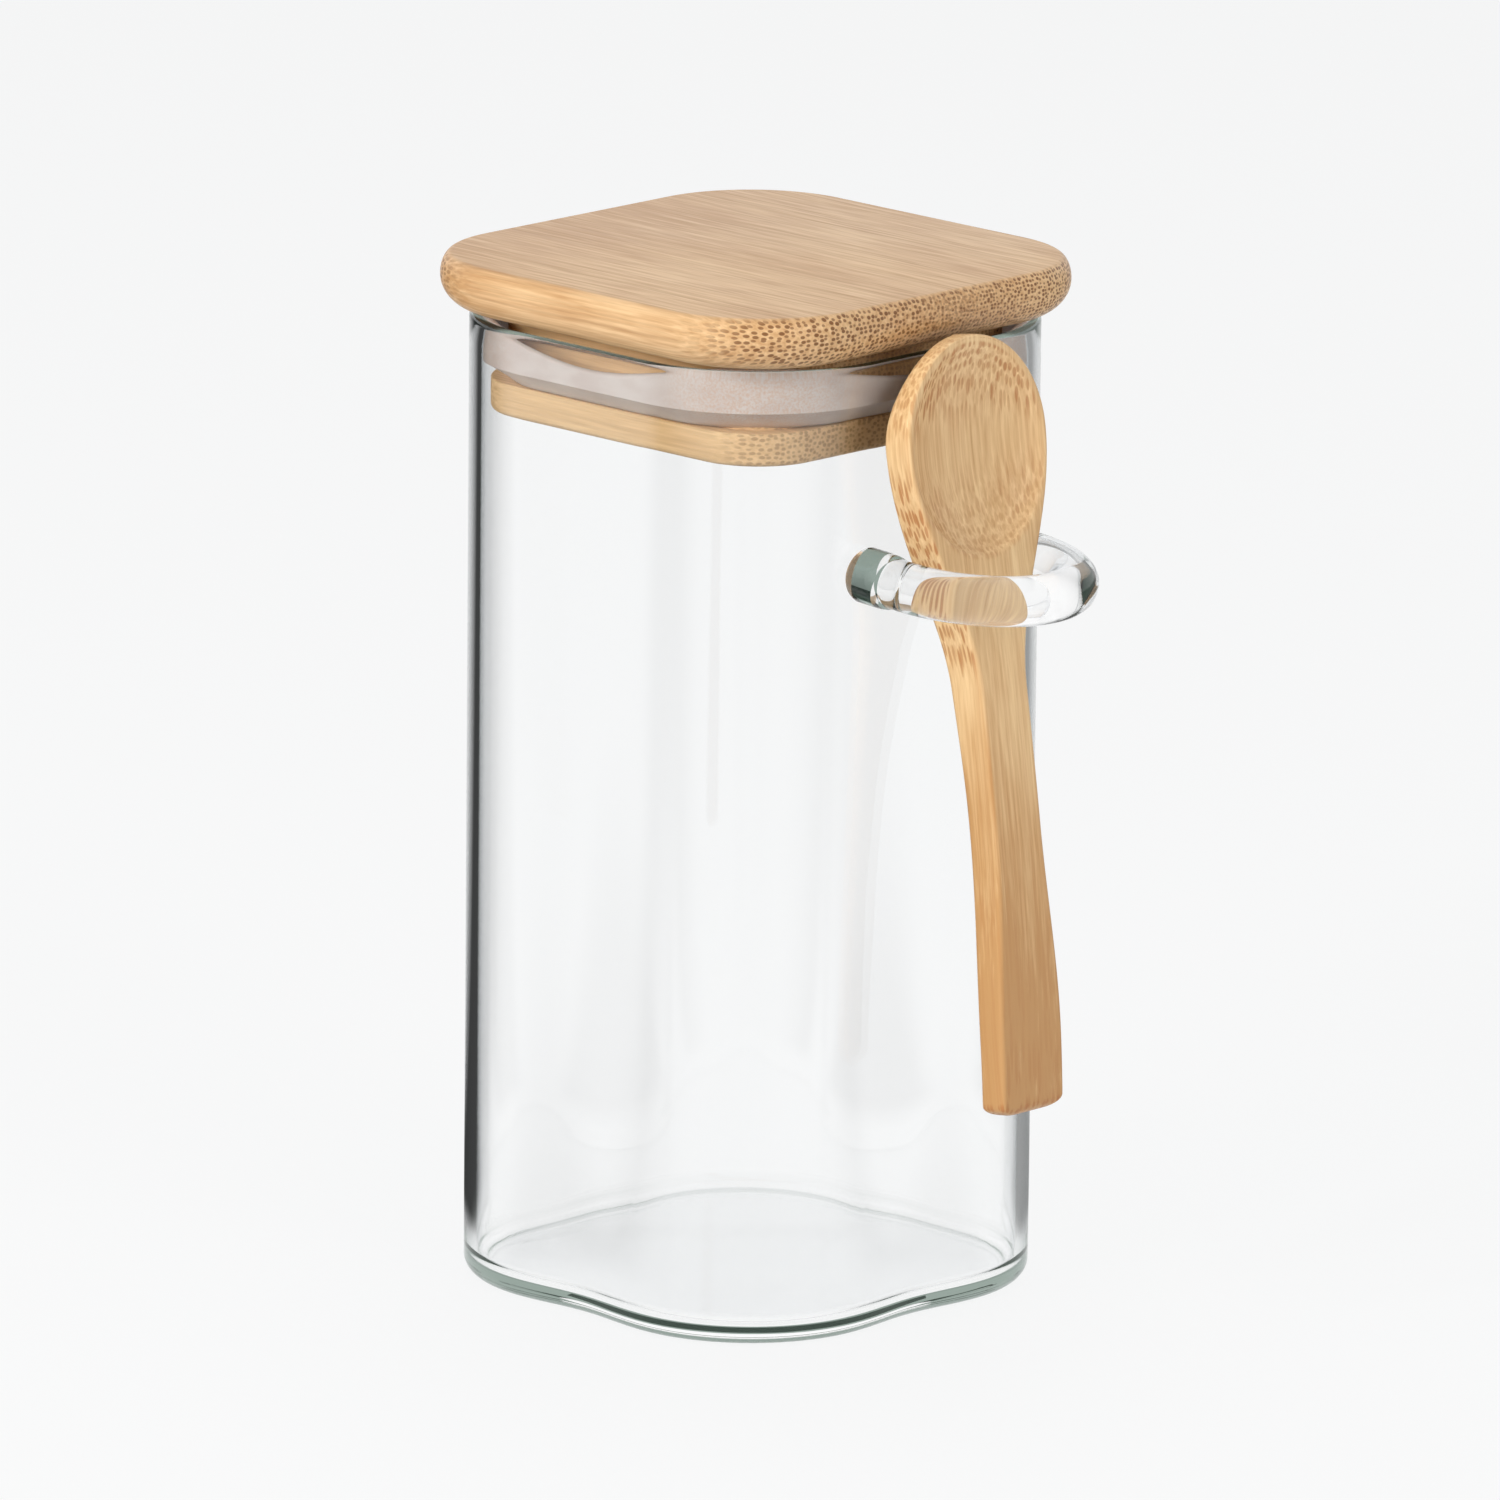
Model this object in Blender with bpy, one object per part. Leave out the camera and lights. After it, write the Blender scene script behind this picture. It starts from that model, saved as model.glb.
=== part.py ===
"""Square glass storage jar with a bamboo lid, a silicone seal and a bamboo spoon in a glass loop.

A standalone Blender 4.5 script: blender --background --python part.py
Units are metres and +Z is up. The origin is the centre of the jar's base, on the surface that the
jar stands on. The loop and its spoon are on the wall that faces -Y.
"""

import math

import bmesh
import bpy
from mathutils import Matrix, Vector
from mathutils.bvhtree import BVHTree

MM = 0.001
SEAT_GAP = 0.3 * MM  # between two pieces that rest on each other

# Glass body
JAR_SIDE = 85 * MM
JAR_HEIGHT = 169.5 * MM
JAR_CORNER_RADIUS = 27.5 * MM
WALL = 2.1 * MM
BASE_THICKNESS = 2.6 * MM
HEEL_RADIUS = 3 * MM
WALL_DIP = 1.15 * MM  # how far the middle of each wall is drawn in at the base

# Glass loop, a rod bent to a U whose legs are fused to the front wall
ROD_RADIUS = 4.3 * MM
LOOP_CLEAR_WIDTH = 22.9 * MM
LOOP_LEG_LENGTH = 8.7 * MM
LOOP_NOSE_LENGTH = 19 * MM
LOOP_BELOW_RIM = 36.4 * MM  # the rod's centre line at the wall
LOOP_DROOP = 1.6 * MM  # how much lower the nose is than the legs at the wall
FOOT_RADIUS = 4.8 * MM
FOOT_THICKNESS = 1.6 * MM

# Lid board
LID_OVERHANG = 2 * MM
LID_CORNER_RADIUS = 22.3 * MM
LID_LOWER_HEIGHT = 5.7 * MM  # from the underside to the line where the edge is widest
LID_UPPER_HEIGHT = 3.8 * MM  # from there to the top
LID_TOP_ROUND = 2.1 * MM
LID_UNDER_ROUND = 6.5 * MM
LID_RIM_GAP = 0.5 * MM

# Lid plug, a neck that carries the seal and a flange below it
NECK_HEIGHT = 11.7 * MM  # from the flange to the board
FLANGE_THICKNESS = 5.8 * MM
FLANGE_CLEARANCE = 4.9 * MM  # to the glass, along the flat walls
FLANGE_CORNER_CLEARANCE = 1.6 * MM  # to the glass, across the corners
FLANGE_EDGE_RADIUS = 1.2 * MM
NECK_INSET = 3 * MM

# Silicone seal
SEAL_TAPER_HEIGHT = 3.4 * MM  # where the foot widens from the flange to the glass
SEAL_LIP_ROUND = 0.8 * MM
SEAL_SAG = 2.7 * MM  # how far its top edge drops between the corners

# Spoon, measured along its own length from the tip of the bowl
SPOON_LENGTH = 132.9 * MM
BOWL_TIP_LENGTH = 17.7 * MM  # from the tip to the widest line
BOWL_WIDTH = 33.6 * MM
SHOULDER_LENGTH = 42.6 * MM  # from the widest line to the neck
NECK_WIDTH = 11.5 * MM
NECK_LENGTH = 23 * MM
HANDLE_FLARE_LENGTH = 38 * MM
HANDLE_END_WIDTH = 15 * MM
TIP_THICKNESS = 3.6 * MM
BOWL_THICKNESS = 6.4 * MM
NECK_THICKNESS = 8.2 * MM
NECK_THICKEST = 48.3 * MM  # from the tip to where the spoon is thickest
HANDLE_THICKNESS = 6.9 * MM
HANDLE_END_THICKNESS = 5.8 * MM
SPOON_FRONT_RADIUS = 0.9 * MM
SPOON_BACK_RADIUS = 1.5 * MM
SPOON_END_RADIUS = 1.8 * MM
LARGEST_CORNER = 0.45  # the most of a side that a rounded corner of the spoon takes
SPOON_BEND = 2 * MM  # how far the handle stands out from a straight line, two thirds down
HOLLOW_TIP_RIM = 1.4 * MM
HOLLOW_SIDE_RIM = 1.1 * MM
HOLLOW_LENGTH = 35.4 * MM
HOLLOW_DEPTH = 4.2 * MM
HOLLOW_STEEPNESS = 0.35  # 1 would be a flat dish, 0 half an ellipsoid with upright sides

# Where the spoon hangs
SPOON_LEAN = math.radians(7.65)
SPOON_LID_GAP = 1.75 * MM  # from the back of the bowl to the plane of the lid's edge

# How finely curves are divided
CORNER_STEPS = 8
FLAT_STEPS = 6
ROUND_STEPS = 5
WALL_STEPS = 5
NOSE_STEPS = 40
TIP_STEPS = 15
SPOON_STEPS = 40
EDGE_STEPS = 3
HOLLOW_STEPS = 20

# Sizes that follow from the ones above
JAR_HALF = JAR_SIDE / 2
INNER_HALF = JAR_HALF - WALL
INNER_CORNER_RADIUS = JAR_CORNER_RADIUS - WALL
LOOP_HALF_SPACING = LOOP_CLEAR_WIDTH / 2 + ROD_RADIUS
LOOP_HEIGHT = JAR_HEIGHT - LOOP_BELOW_RIM
LID_HALF = JAR_HALF + LID_OVERHANG
LID_UNDERSIDE = JAR_HEIGHT + LID_RIM_GAP
FLANGE_TOP = LID_UNDERSIDE - NECK_HEIGHT
FLANGE_HALF = INNER_HALF - FLANGE_CLEARANCE
INNER_CORNER_REACH = (INNER_HALF - INNER_CORNER_RADIUS) * math.sqrt(2) + INNER_CORNER_RADIUS
FLANGE_CORNER_REACH = INNER_CORNER_REACH - FLANGE_CORNER_CLEARANCE
FLANGE_CORNER_RADIUS = (FLANGE_HALF * math.sqrt(2) - FLANGE_CORNER_REACH) / (math.sqrt(2) - 1)
SHOULDER_START = BOWL_TIP_LENGTH
NECK_START = SHOULDER_START + SHOULDER_LENGTH
NECK_END = NECK_START + NECK_LENGTH
FLARE_END = NECK_END + HANDLE_FLARE_LENGTH


def material(name, color, roughness, transmission=0.0, ior=1.45):
    """A plain finish in the piece's own colour."""
    made = bpy.data.materials.new(name)
    made.use_nodes = True
    shader = made.node_tree.nodes["Principled BSDF"]
    shader.inputs["Base Color"].default_value = (*color, 1)
    shader.inputs["Roughness"].default_value = roughness
    shader.inputs["Metallic"].default_value = 0
    shader.inputs["Transmission Weight"].default_value = transmission
    shader.inputs["IOR"].default_value = ior
    made.diffuse_color = (*color, 1)
    return made


def rounded_square(half_side, corner_radius, height, dip=0.0, sag=0.0):
    """Points round a rounded square.

    Between the corners the outline is drawn in by dip and lowered by sag at the middle of each side.
    """
    centre = half_side - corner_radius
    points = []
    for quarter in range(4):
        turn = Matrix.Rotation(quarter * math.pi / 2, 3, "Z")
        for step in range(CORNER_STEPS + 1):
            angle = step / CORNER_STEPS * math.pi / 2
            x = centre + corner_radius * math.cos(angle)
            y = centre + corner_radius * math.sin(angle)
            points.append(turn @ Vector((x, y, height)))
        for step in range(1, FLAT_STEPS):
            share = step / FLAT_STEPS
            swell = math.sin(math.pi * share) ** 2
            x = centre * (1 - 2 * share)
            points.append(turn @ Vector((x, half_side - dip * swell, height - sag * swell)))
    return points


def eased(value, start, end):
    """Rises smoothly from 0 at start to 1 at end."""
    share = min(max((value - start) / (end - start), 0), 1)
    return (1 - math.cos(math.pi * share)) / 2


def quarter_steps(first=0):
    """The angles of the steps that a quarter turn is divided into, from step number first."""
    return [step / ROUND_STEPS * math.pi / 2 for step in range(first, ROUND_STEPS + 1)]


def add_object(name, mesh, collection, surface=None):
    """Puts a mesh in a collection, smoothly shaded where it has a surface."""
    made = bpy.data.objects.new(name, mesh)
    collection.objects.link(made)
    if surface is not None:
        mesh.materials.append(surface)
        mesh.shade_smooth()
        mesh.set_sharp_from_angle(angle=math.radians(40))
    return made


def loft(name, rings, collection, surface=None, ring_shaped=False):
    """A closed body through rings of equally many points, capped at both ends unless it is a ring."""
    shell = bmesh.new()
    rows = [[shell.verts.new(point) for point in ring] for ring in rings]
    pairs = list(zip(rows, rows[1:]))
    if ring_shaped:
        pairs.append((rows[-1], rows[0]))
    else:
        shell.faces.new(rows[0])
        shell.faces.new(rows[-1])
    for lower, upper in pairs:
        for index in range(len(lower)):
            after = (index + 1) % len(lower)
            shell.faces.new((lower[index], lower[after], upper[after], upper[index]))
    bmesh.ops.recalc_face_normals(shell, faces=shell.faces)
    mesh = bpy.data.meshes.new(name)
    shell.to_mesh(mesh)
    shell.free()
    return add_object(name, mesh, collection, surface)


def cut(target, cutter):
    """Takes the cutter's shape out of the target."""
    cutter.hide_render = True
    cutter.display_type = "WIRE"
    modifier = target.modifiers.new("Cut", "BOOLEAN")
    modifier.operation = "DIFFERENCE"
    modifier.solver = "EXACT"
    modifier.object = cutter


def jar_outline(inset, height):
    """The jar's outline at a height, drawn in by inset. The walls are flat at the rim."""
    dip = WALL_DIP * (1 - height / JAR_HEIGHT) ** 2
    return rounded_square(JAR_HALF - inset, JAR_CORNER_RADIUS - inset, height, dip)


def make_glass_body(collection, surface):
    """One wall of glass: up the outside from the heel, over the rim and down the inside."""
    rings = []
    for angle in quarter_steps():
        inset = HEEL_RADIUS * (1 - math.sin(angle))
        rings.append(jar_outline(inset, HEEL_RADIUS * (1 - math.cos(angle))))
    rim_radius = WALL / 2
    shoulder = JAR_HEIGHT - rim_radius
    levels = [shoulder * step / WALL_STEPS for step in range(1, WALL_STEPS)]
    rings += [jar_outline(0, level) for level in levels]
    for step in range(2 * ROUND_STEPS + 1):
        angle = step / (2 * ROUND_STEPS) * math.pi
        inset = rim_radius * (1 - math.cos(angle))
        rings.append(jar_outline(inset, shoulder + rim_radius * math.sin(angle)))
    rings += [jar_outline(WALL, level) for level in reversed(levels)]
    for angle in reversed(quarter_steps()):
        inset = WALL + HEEL_RADIUS * (1 - math.sin(angle))
        rings.append(jar_outline(inset, BASE_THICKNESS + HEEL_RADIUS * (1 - math.cos(angle))))
    loft("glass_body", rings, collection, surface)


def loop_centreline():
    """The rod's centre line from one foot to the other, with its height and its thickness factor."""
    reach = LOOP_LEG_LENGTH + LOOP_NOSE_LENGTH
    foot_factor = FOOT_RADIUS / ROD_RADIUS
    leg = [(-FOOT_THICKNESS - WALL_DIP, foot_factor)]
    for angle in quarter_steps():
        leg.append((FOOT_THICKNESS * math.sin(angle), 1 + (foot_factor - 1) * math.cos(angle)))
    leg.append(((FOOT_THICKNESS + LOOP_LEG_LENGTH) / 2, 1))
    plan = [(-LOOP_HALF_SPACING, out, factor) for out, factor in leg]
    for step in range(NOSE_STEPS + 1):
        angle = step / NOSE_STEPS * math.pi
        x = -LOOP_HALF_SPACING * math.cos(angle)
        plan.append((x, LOOP_LEG_LENGTH + LOOP_NOSE_LENGTH * math.sin(angle), 1))
    plan += [(LOOP_HALF_SPACING, out, factor) for out, factor in reversed(leg)]
    return [
        (Vector((x, -JAR_HALF - out, LOOP_HEIGHT - LOOP_DROOP * max(out, 0) / reach)), factor)
        for x, out, factor in plan
    ]


def make_spoon_loop(collection, cutters, surface):
    """The bent rod, with its feet cut to the wall that they are fused to."""
    curve = bpy.data.curves.new("spoon_loop", "CURVE")
    curve.dimensions = "3D"
    curve.bevel_depth = ROD_RADIUS
    curve.bevel_resolution = 5
    curve.use_fill_caps = True
    line = loop_centreline()
    spline = curve.splines.new("POLY")
    spline.points.add(len(line) - 1)
    for point, (place, factor) in zip(spline.points, line):
        point.co = (*place, 1)
        point.radius = factor
    rod = bpy.data.objects.new("spoon_loop_rod", curve)
    collection.objects.link(rod)
    bpy.context.view_layer.update()
    graph = bpy.context.evaluated_depsgraph_get()
    mesh = bpy.data.meshes.new_from_object(rod.evaluated_get(graph))
    mesh.name = "spoon_loop"
    shell = bmesh.new()
    shell.from_mesh(mesh)
    bmesh.ops.remove_doubles(shell, verts=shell.verts, dist=0.01 * MM)
    bmesh.ops.recalc_face_normals(shell, faces=shell.faces)
    shell.to_mesh(mesh)
    shell.free()
    bpy.data.objects.remove(rod)
    loop = add_object("spoon_loop", mesh, collection, surface)
    low = LOOP_HEIGHT - 2 * FOOT_RADIUS
    high = LOOP_HEIGHT + 2 * FOOT_RADIUS
    rings = [jar_outline(-SEAT_GAP, height) for height in (low, LOOP_HEIGHT, high)]
    cut(loop, loft("wall_cutter", rings, cutters))


def make_lid_board(collection, surface):
    """A board with a crisp round on top and a long one underneath."""
    rings = []
    for angle in quarter_steps():
        inset = LID_UNDER_ROUND * (1 - math.sin(angle))
        height = LID_UNDERSIDE + LID_LOWER_HEIGHT * (1 - math.cos(angle))
        rings.append(rounded_square(LID_HALF - inset, LID_CORNER_RADIUS - inset, height))
    for angle in quarter_steps(first=1):
        inset = LID_TOP_ROUND * (1 - math.cos(angle))
        height = LID_UNDERSIDE + LID_LOWER_HEIGHT + LID_UPPER_HEIGHT * math.sin(angle)
        rings.append(rounded_square(LID_HALF - inset, LID_CORNER_RADIUS - inset, height))
    return loft("lid_board", rings, collection, surface)


def plug_outline(inset, height):
    """The flange's outline at a height, drawn in by inset."""
    return rounded_square(FLANGE_HALF - inset, FLANGE_CORNER_RADIUS - inset, height)


def make_lid_plug(collection, surface):
    """The flange with a rounded lower edge, and the neck above it that the seal goes round."""
    rings = []
    bottom = FLANGE_TOP - FLANGE_THICKNESS
    for angle in quarter_steps():
        inset = FLANGE_EDGE_RADIUS * (1 - math.sin(angle))
        height = bottom + FLANGE_EDGE_RADIUS * (1 - math.cos(angle))
        rings.append(plug_outline(inset, height))
    rings.append(plug_outline(0, FLANGE_TOP))
    rings.append(plug_outline(NECK_INSET, FLANGE_TOP))
    rings.append(plug_outline(NECK_INSET, LID_UNDERSIDE - SEAT_GAP))
    return loft("lid_plug", rings, collection, surface)


def make_lid_seal(collection, surface):
    """A ring round the plug's neck that widens from the flange to the glass. Its top edge sags."""
    bottom = FLANGE_TOP + SEAT_GAP
    top = LID_UNDERSIDE - SEAT_GAP
    neck_half = FLANGE_HALF - NECK_INSET + SEAT_GAP
    neck_radius = FLANGE_CORNER_RADIUS - NECK_INSET + SEAT_GAP
    glass_half = INNER_HALF - SEAT_GAP
    glass_radius = INNER_CORNER_RADIUS - SEAT_GAP
    rings = [
        rounded_square(neck_half, neck_radius, bottom),
        rounded_square(FLANGE_HALF, FLANGE_CORNER_RADIUS, bottom),
        rounded_square(glass_half, glass_radius, bottom + SEAL_TAPER_HEIGHT),
    ]
    for angle in quarter_steps():
        inset = SEAL_LIP_ROUND * (1 - math.cos(angle))
        height = top - SEAL_LIP_ROUND * (1 - math.sin(angle))
        rings.append(rounded_square(glass_half - inset, glass_radius - inset, height, sag=SEAL_SAG))
    rings.append(rounded_square(neck_half, neck_radius, top, sag=SEAL_SAG))
    return loft("lid_seal", rings, collection, surface, ring_shaped=True)


def spoon_half_width(along):
    """Half the spoon's width at a distance from its tip."""
    width = BOWL_WIDTH
    width += (NECK_WIDTH - BOWL_WIDTH) * eased(along, SHOULDER_START, NECK_START)
    width += (HANDLE_END_WIDTH - NECK_WIDTH) * eased(along, NECK_END, FLARE_END)
    to_widest = max(1 - along / BOWL_TIP_LENGTH, 0)
    return width / 2 * math.sqrt(1 - to_widest**2)


def spoon_thickness(along):
    """From the front face to the back at a distance from its tip."""
    thickness = TIP_THICKNESS
    thickness += (BOWL_THICKNESS - TIP_THICKNESS) * eased(along, 0, BOWL_TIP_LENGTH)
    thickness += (NECK_THICKNESS - BOWL_THICKNESS) * eased(along, SHOULDER_START, NECK_THICKEST)
    thickness += (HANDLE_THICKNESS - NECK_THICKNESS) * eased(along, NECK_THICKEST, NECK_END)
    thickness += (HANDLE_END_THICKNESS - HANDLE_THICKNESS) * eased(along, NECK_END, SPOON_LENGTH)
    return thickness


def spoon_front(along):
    """How far the front face stands out from the straight line from tip to end."""
    share = along / SPOON_LENGTH
    most = (2 / 3) ** 2 * (1 / 3)
    return SPOON_BEND * share**2 * (1 - share) / most


def spoon_section(along, inset):
    """A rounded oblong across the spoon, drawn in by inset. The front is -Y and the tip is up."""
    half_width = spoon_half_width(along) - inset
    front = -spoon_front(along) + inset
    back = front + spoon_thickness(along) - 2 * inset
    largest = LARGEST_CORNER * min(2 * half_width, back - front)
    front_radius = min(SPOON_FRONT_RADIUS, largest)
    back_radius = min(SPOON_BACK_RADIUS, largest)
    corners = (
        (half_width - back_radius, back - back_radius, back_radius),
        (-half_width + back_radius, back - back_radius, back_radius),
        (-half_width + front_radius, front + front_radius, front_radius),
        (half_width - front_radius, front + front_radius, front_radius),
    )
    section = []
    for quarter, (x, y, radius) in enumerate(corners):
        for step in range(EDGE_STEPS + 1):
            angle = (quarter + step / EDGE_STEPS) * math.pi / 2
            place = (x + radius * math.cos(angle), y + radius * math.sin(angle), -along)
            section.append(Vector(place))
    return section


def spoon_sections():
    """Sections from the tip of the bowl to the handle's end, closer together where it is round."""
    sections = []
    for step in range(1, TIP_STEPS + 1):
        angle = step / TIP_STEPS * math.pi / 2
        sections.append(spoon_section(BOWL_TIP_LENGTH * (1 - math.cos(angle)), 0))
    straight = SPOON_LENGTH - SPOON_END_RADIUS - BOWL_TIP_LENGTH
    for step in range(1, SPOON_STEPS + 1):
        sections.append(spoon_section(BOWL_TIP_LENGTH + straight * step / SPOON_STEPS, 0))
    for angle in quarter_steps(first=1):
        along = SPOON_LENGTH - SPOON_END_RADIUS * (1 - math.sin(angle))
        sections.append(spoon_section(along, SPOON_END_RADIUS * (1 - math.cos(angle))))
    return sections


def spoon_place(mesh, height):
    """The leaning spoon's place, with its tip at this height and its back just clear of the lid."""
    lean = Matrix.Rotation(-SPOON_LEAN, 4, "X")
    rear = max((lean @ vertex.co).y for vertex in mesh.vertices)
    return Matrix.Translation((0, -LID_HALF - SPOON_LID_GAP - rear, height)) @ lean


def gap_to_loop(tree, place):
    """The least distance from the placed spoon to the loop's rod."""
    to_spoon = place.inverted()
    line = [centre for centre, _ in loop_centreline()]
    distances = []
    for start, end in zip(line, line[1:]):
        for share in (0, 0.25, 0.5, 0.75):
            distances.append(tree.find_nearest(to_spoon @ start.lerp(end, share))[3])
    return min(distances) - ROD_RADIUS


def resting_place(mesh):
    """The spoon's place with its shoulders resting on the loop, found by halving."""
    tree = BVHTree.FromPolygons(
        [vertex.co for vertex in mesh.vertices], [face.vertices for face in mesh.polygons]
    )
    low = LOOP_HEIGHT + SHOULDER_START
    high = LOOP_HEIGHT + NECK_END
    for _ in range(30):
        middle = (low + high) / 2
        if gap_to_loop(tree, spoon_place(mesh, middle)) < SEAT_GAP:
            low = middle
        else:
            high = middle
    return spoon_place(mesh, high)


def hollow_cutter(collection):
    """An ellipsoid that sinks into the bowl's front."""
    shell = bmesh.new()
    bmesh.ops.create_uvsphere(shell, u_segments=2 * HOLLOW_STEPS, v_segments=HOLLOW_STEPS, radius=1)
    depth = HOLLOW_DEPTH / (1 - HOLLOW_STEEPNESS)
    mouth_share = math.sqrt(1 - HOLLOW_STEEPNESS**2)
    half_width = (BOWL_WIDTH / 2 - HOLLOW_SIDE_RIM) / mouth_share
    half_length = HOLLOW_LENGTH / 2 / mouth_share
    middle = HOLLOW_TIP_RIM + HOLLOW_LENGTH / 2
    front = -spoon_front(middle) - HOLLOW_STEEPNESS * depth
    size = Matrix.Diagonal((half_width, depth, half_length, 1))
    shell.transform(Matrix.Translation((0, front, -middle)) @ size)
    mesh = bpy.data.meshes.new("hollow_cutter")
    shell.to_mesh(mesh)
    shell.free()
    return add_object("hollow_cutter", mesh, collection)


def make_spoon(collection, cutters, surface):
    """The spoon, under an empty that stands where it hangs and leans as it does."""
    spoon = loft("spoon", spoon_sections(), collection, surface)
    carrier = bpy.data.objects.new("spoon_lift", None)
    carrier.matrix_world = resting_place(spoon.data)
    collection.objects.link(carrier)
    cutter = hollow_cutter(cutters)
    cut(spoon, cutter)
    for piece in (spoon, cutter):
        piece.parent = carrier


def new_collection(name):
    """A collection under the scene's own."""
    made = bpy.data.collections.new(name)
    bpy.context.scene.collection.children.link(made)
    return made


def main():
    """Clears the scene and builds the jar in it."""
    for old in list(bpy.data.objects):
        bpy.data.objects.remove(old)
    parts = new_collection("Glass storage jar")
    cutters = new_collection("Cutters")
    glass = material("Clear glass", (0.94, 0.98, 0.97), 0.0, transmission=1, ior=1.47)
    rod_glass = material("Clear rod glass", (0.92, 0.97, 0.95), 0.0, transmission=1, ior=1.47)
    lid_bamboo = material("Lid bamboo", (0.56, 0.35, 0.19), 0.45)
    plug_bamboo = material("Plug bamboo", (0.66, 0.42, 0.22), 0.5)
    spoon_bamboo = material("Spoon bamboo", (0.63, 0.39, 0.18), 0.45)
    silicone = material("Milky silicone", (0.8, 0.77, 0.76), 0.35, transmission=0.4, ior=1.41)
    make_glass_body(parts, glass)
    make_spoon_loop(parts, cutters, rod_glass)
    carrier = bpy.data.objects.new("lid_lift", None)
    parts.objects.link(carrier)
    for piece in (
        make_lid_board(parts, lid_bamboo),
        make_lid_plug(parts, plug_bamboo),
        make_lid_seal(parts, silicone),
    ):
        piece.parent = carrier
    make_spoon(parts, cutters, spoon_bamboo)


main()
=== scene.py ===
"""The looks of a square glass storage jar with a bamboo lid and a bamboo spoon in a glass loop.

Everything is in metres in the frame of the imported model: +Z up, the origin at the centre of the
jar's base, and the loop with the spoon on the wall that faces -Y. Glass, bamboo and silicone are
procedural materials on Object coordinates. The glass shell, the loop, the lid's board, its plug and
its seal are made by Geometry Nodes trees, and the spoon is a loft with its hollow pressed in.
"""

import logging
import math
from collections.abc import Callable, Sequence
from dataclasses import dataclass, field, replace
from enum import Enum
from typing import Any

import bmesh
import bpy
from mathutils import Matrix, Vector

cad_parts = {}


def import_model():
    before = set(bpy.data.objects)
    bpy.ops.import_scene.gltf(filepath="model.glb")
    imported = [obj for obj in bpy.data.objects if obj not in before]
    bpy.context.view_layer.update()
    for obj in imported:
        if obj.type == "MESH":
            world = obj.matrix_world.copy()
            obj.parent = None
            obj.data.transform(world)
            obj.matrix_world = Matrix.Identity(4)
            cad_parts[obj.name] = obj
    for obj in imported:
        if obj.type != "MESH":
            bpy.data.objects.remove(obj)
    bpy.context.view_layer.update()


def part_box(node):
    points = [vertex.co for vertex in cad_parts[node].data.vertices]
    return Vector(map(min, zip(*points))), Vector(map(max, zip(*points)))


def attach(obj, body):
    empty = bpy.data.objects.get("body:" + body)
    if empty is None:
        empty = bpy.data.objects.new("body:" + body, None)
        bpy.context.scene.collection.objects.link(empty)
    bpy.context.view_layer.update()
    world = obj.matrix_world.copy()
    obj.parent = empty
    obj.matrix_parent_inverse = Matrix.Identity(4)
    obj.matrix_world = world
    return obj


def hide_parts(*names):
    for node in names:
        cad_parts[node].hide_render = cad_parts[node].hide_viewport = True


MM = 0.001
QUARTER = math.pi / 2
LOG = logging.getLogger("storage_jar")

Colour = tuple[float, float, float]
Point = tuple[float, float, float]


def eased(value: float, start: float, end: float) -> float:
    """Rises smoothly from 0 to 1.

    Args:
        value: Where on the rise.
        start: Where it leaves 0.
        end: Where it reaches 1.

    Returns:
        A number from 0 to 1.
    """
    share = min(max((value - start) / (end - start), 0), 1)
    return (1 - math.cos(math.pi * share)) / 2


def steps(count: int, start: float = 0.0, end: float = QUARTER) -> list[float]:
    """Even steps from start to end, both included.

    Args:
        count: How many steps.
        start: The first value.
        end: The last value.

    Returns:
        count + 1 values.
    """
    return [start + (end - start) * step / count for step in range(count + 1)]


# Node trees


def math_node(operation: str, flipped: bool = False) -> Callable[..., "Value"]:
    """A method of Value that adds a Math node.

    Args:
        operation: The node's operation.
        flipped: Whether the other number comes first.

    Returns:
        The method.
    """

    def method(self: "Value", other: Any = 0) -> "Value":
        """The result of the node.

        Args:
            other: The other number.

        Returns:
            The result.
        """
        numbers = (other, self) if flipped else (self, other)
        sockets = dict(enumerate(numbers))
        return self.nodes.add("ShaderNodeMath", {"operation": operation}, sockets).value()

    return method


@dataclass(frozen=True)
class Value:
    """A number that a node gives, which can stand in sums."""

    nodes: "Nodes"
    socket: bpy.types.NodeSocket

    __add__, __radd__ = math_node("ADD"), math_node("ADD", True)
    __sub__, __rsub__ = math_node("SUBTRACT"), math_node("SUBTRACT", True)
    __mul__, __rmul__ = math_node("MULTIPLY"), math_node("MULTIPLY", True)
    __truediv__, __pow__ = math_node("DIVIDE"), math_node("POWER")
    __abs__, root = math_node("ABSOLUTE"), math_node("SQRT")
    over, least, most = math_node("GREATER_THAN"), math_node("MINIMUM"), math_node("MAXIMUM")
    whole, rounded = math_node("FLOOR"), math_node("ROUND")
    sine, cosine = math_node("SINE"), math_node("COSINE")

    def __neg__(self) -> "Value":
        """-self."""
        return self * -1

    def clamped(self) -> "Value":
        """The value kept within 0 and 1."""
        return self.most(0).least(1)

    def rise(self, low: float, high: float) -> "Value":
        """A smooth step.

        Args:
            low: Where it is 0.
            high: Where it is 1; it may be below low, for a fall.

        Returns:
            A number from 0 to 1.
        """
        return self.nodes.add(
            "ShaderNodeMapRange",
            {"interpolation_type": "SMOOTHSTEP"},
            {"Value": self, "From Min": low, "From Max": high},
        ).value("Result")


@dataclass(frozen=True)
class Made:
    """A node that was added, with its outputs by name."""

    nodes: "Nodes"
    node: bpy.types.Node

    def value(self, name: str | int = 0) -> Value:
        """An output that holds a number."""
        return Value(self.nodes, self.node.outputs[name])

    def out(self, name: str | int = 0) -> bpy.types.NodeSocket:
        """An output of any kind."""
        return self.node.outputs[name]


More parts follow.
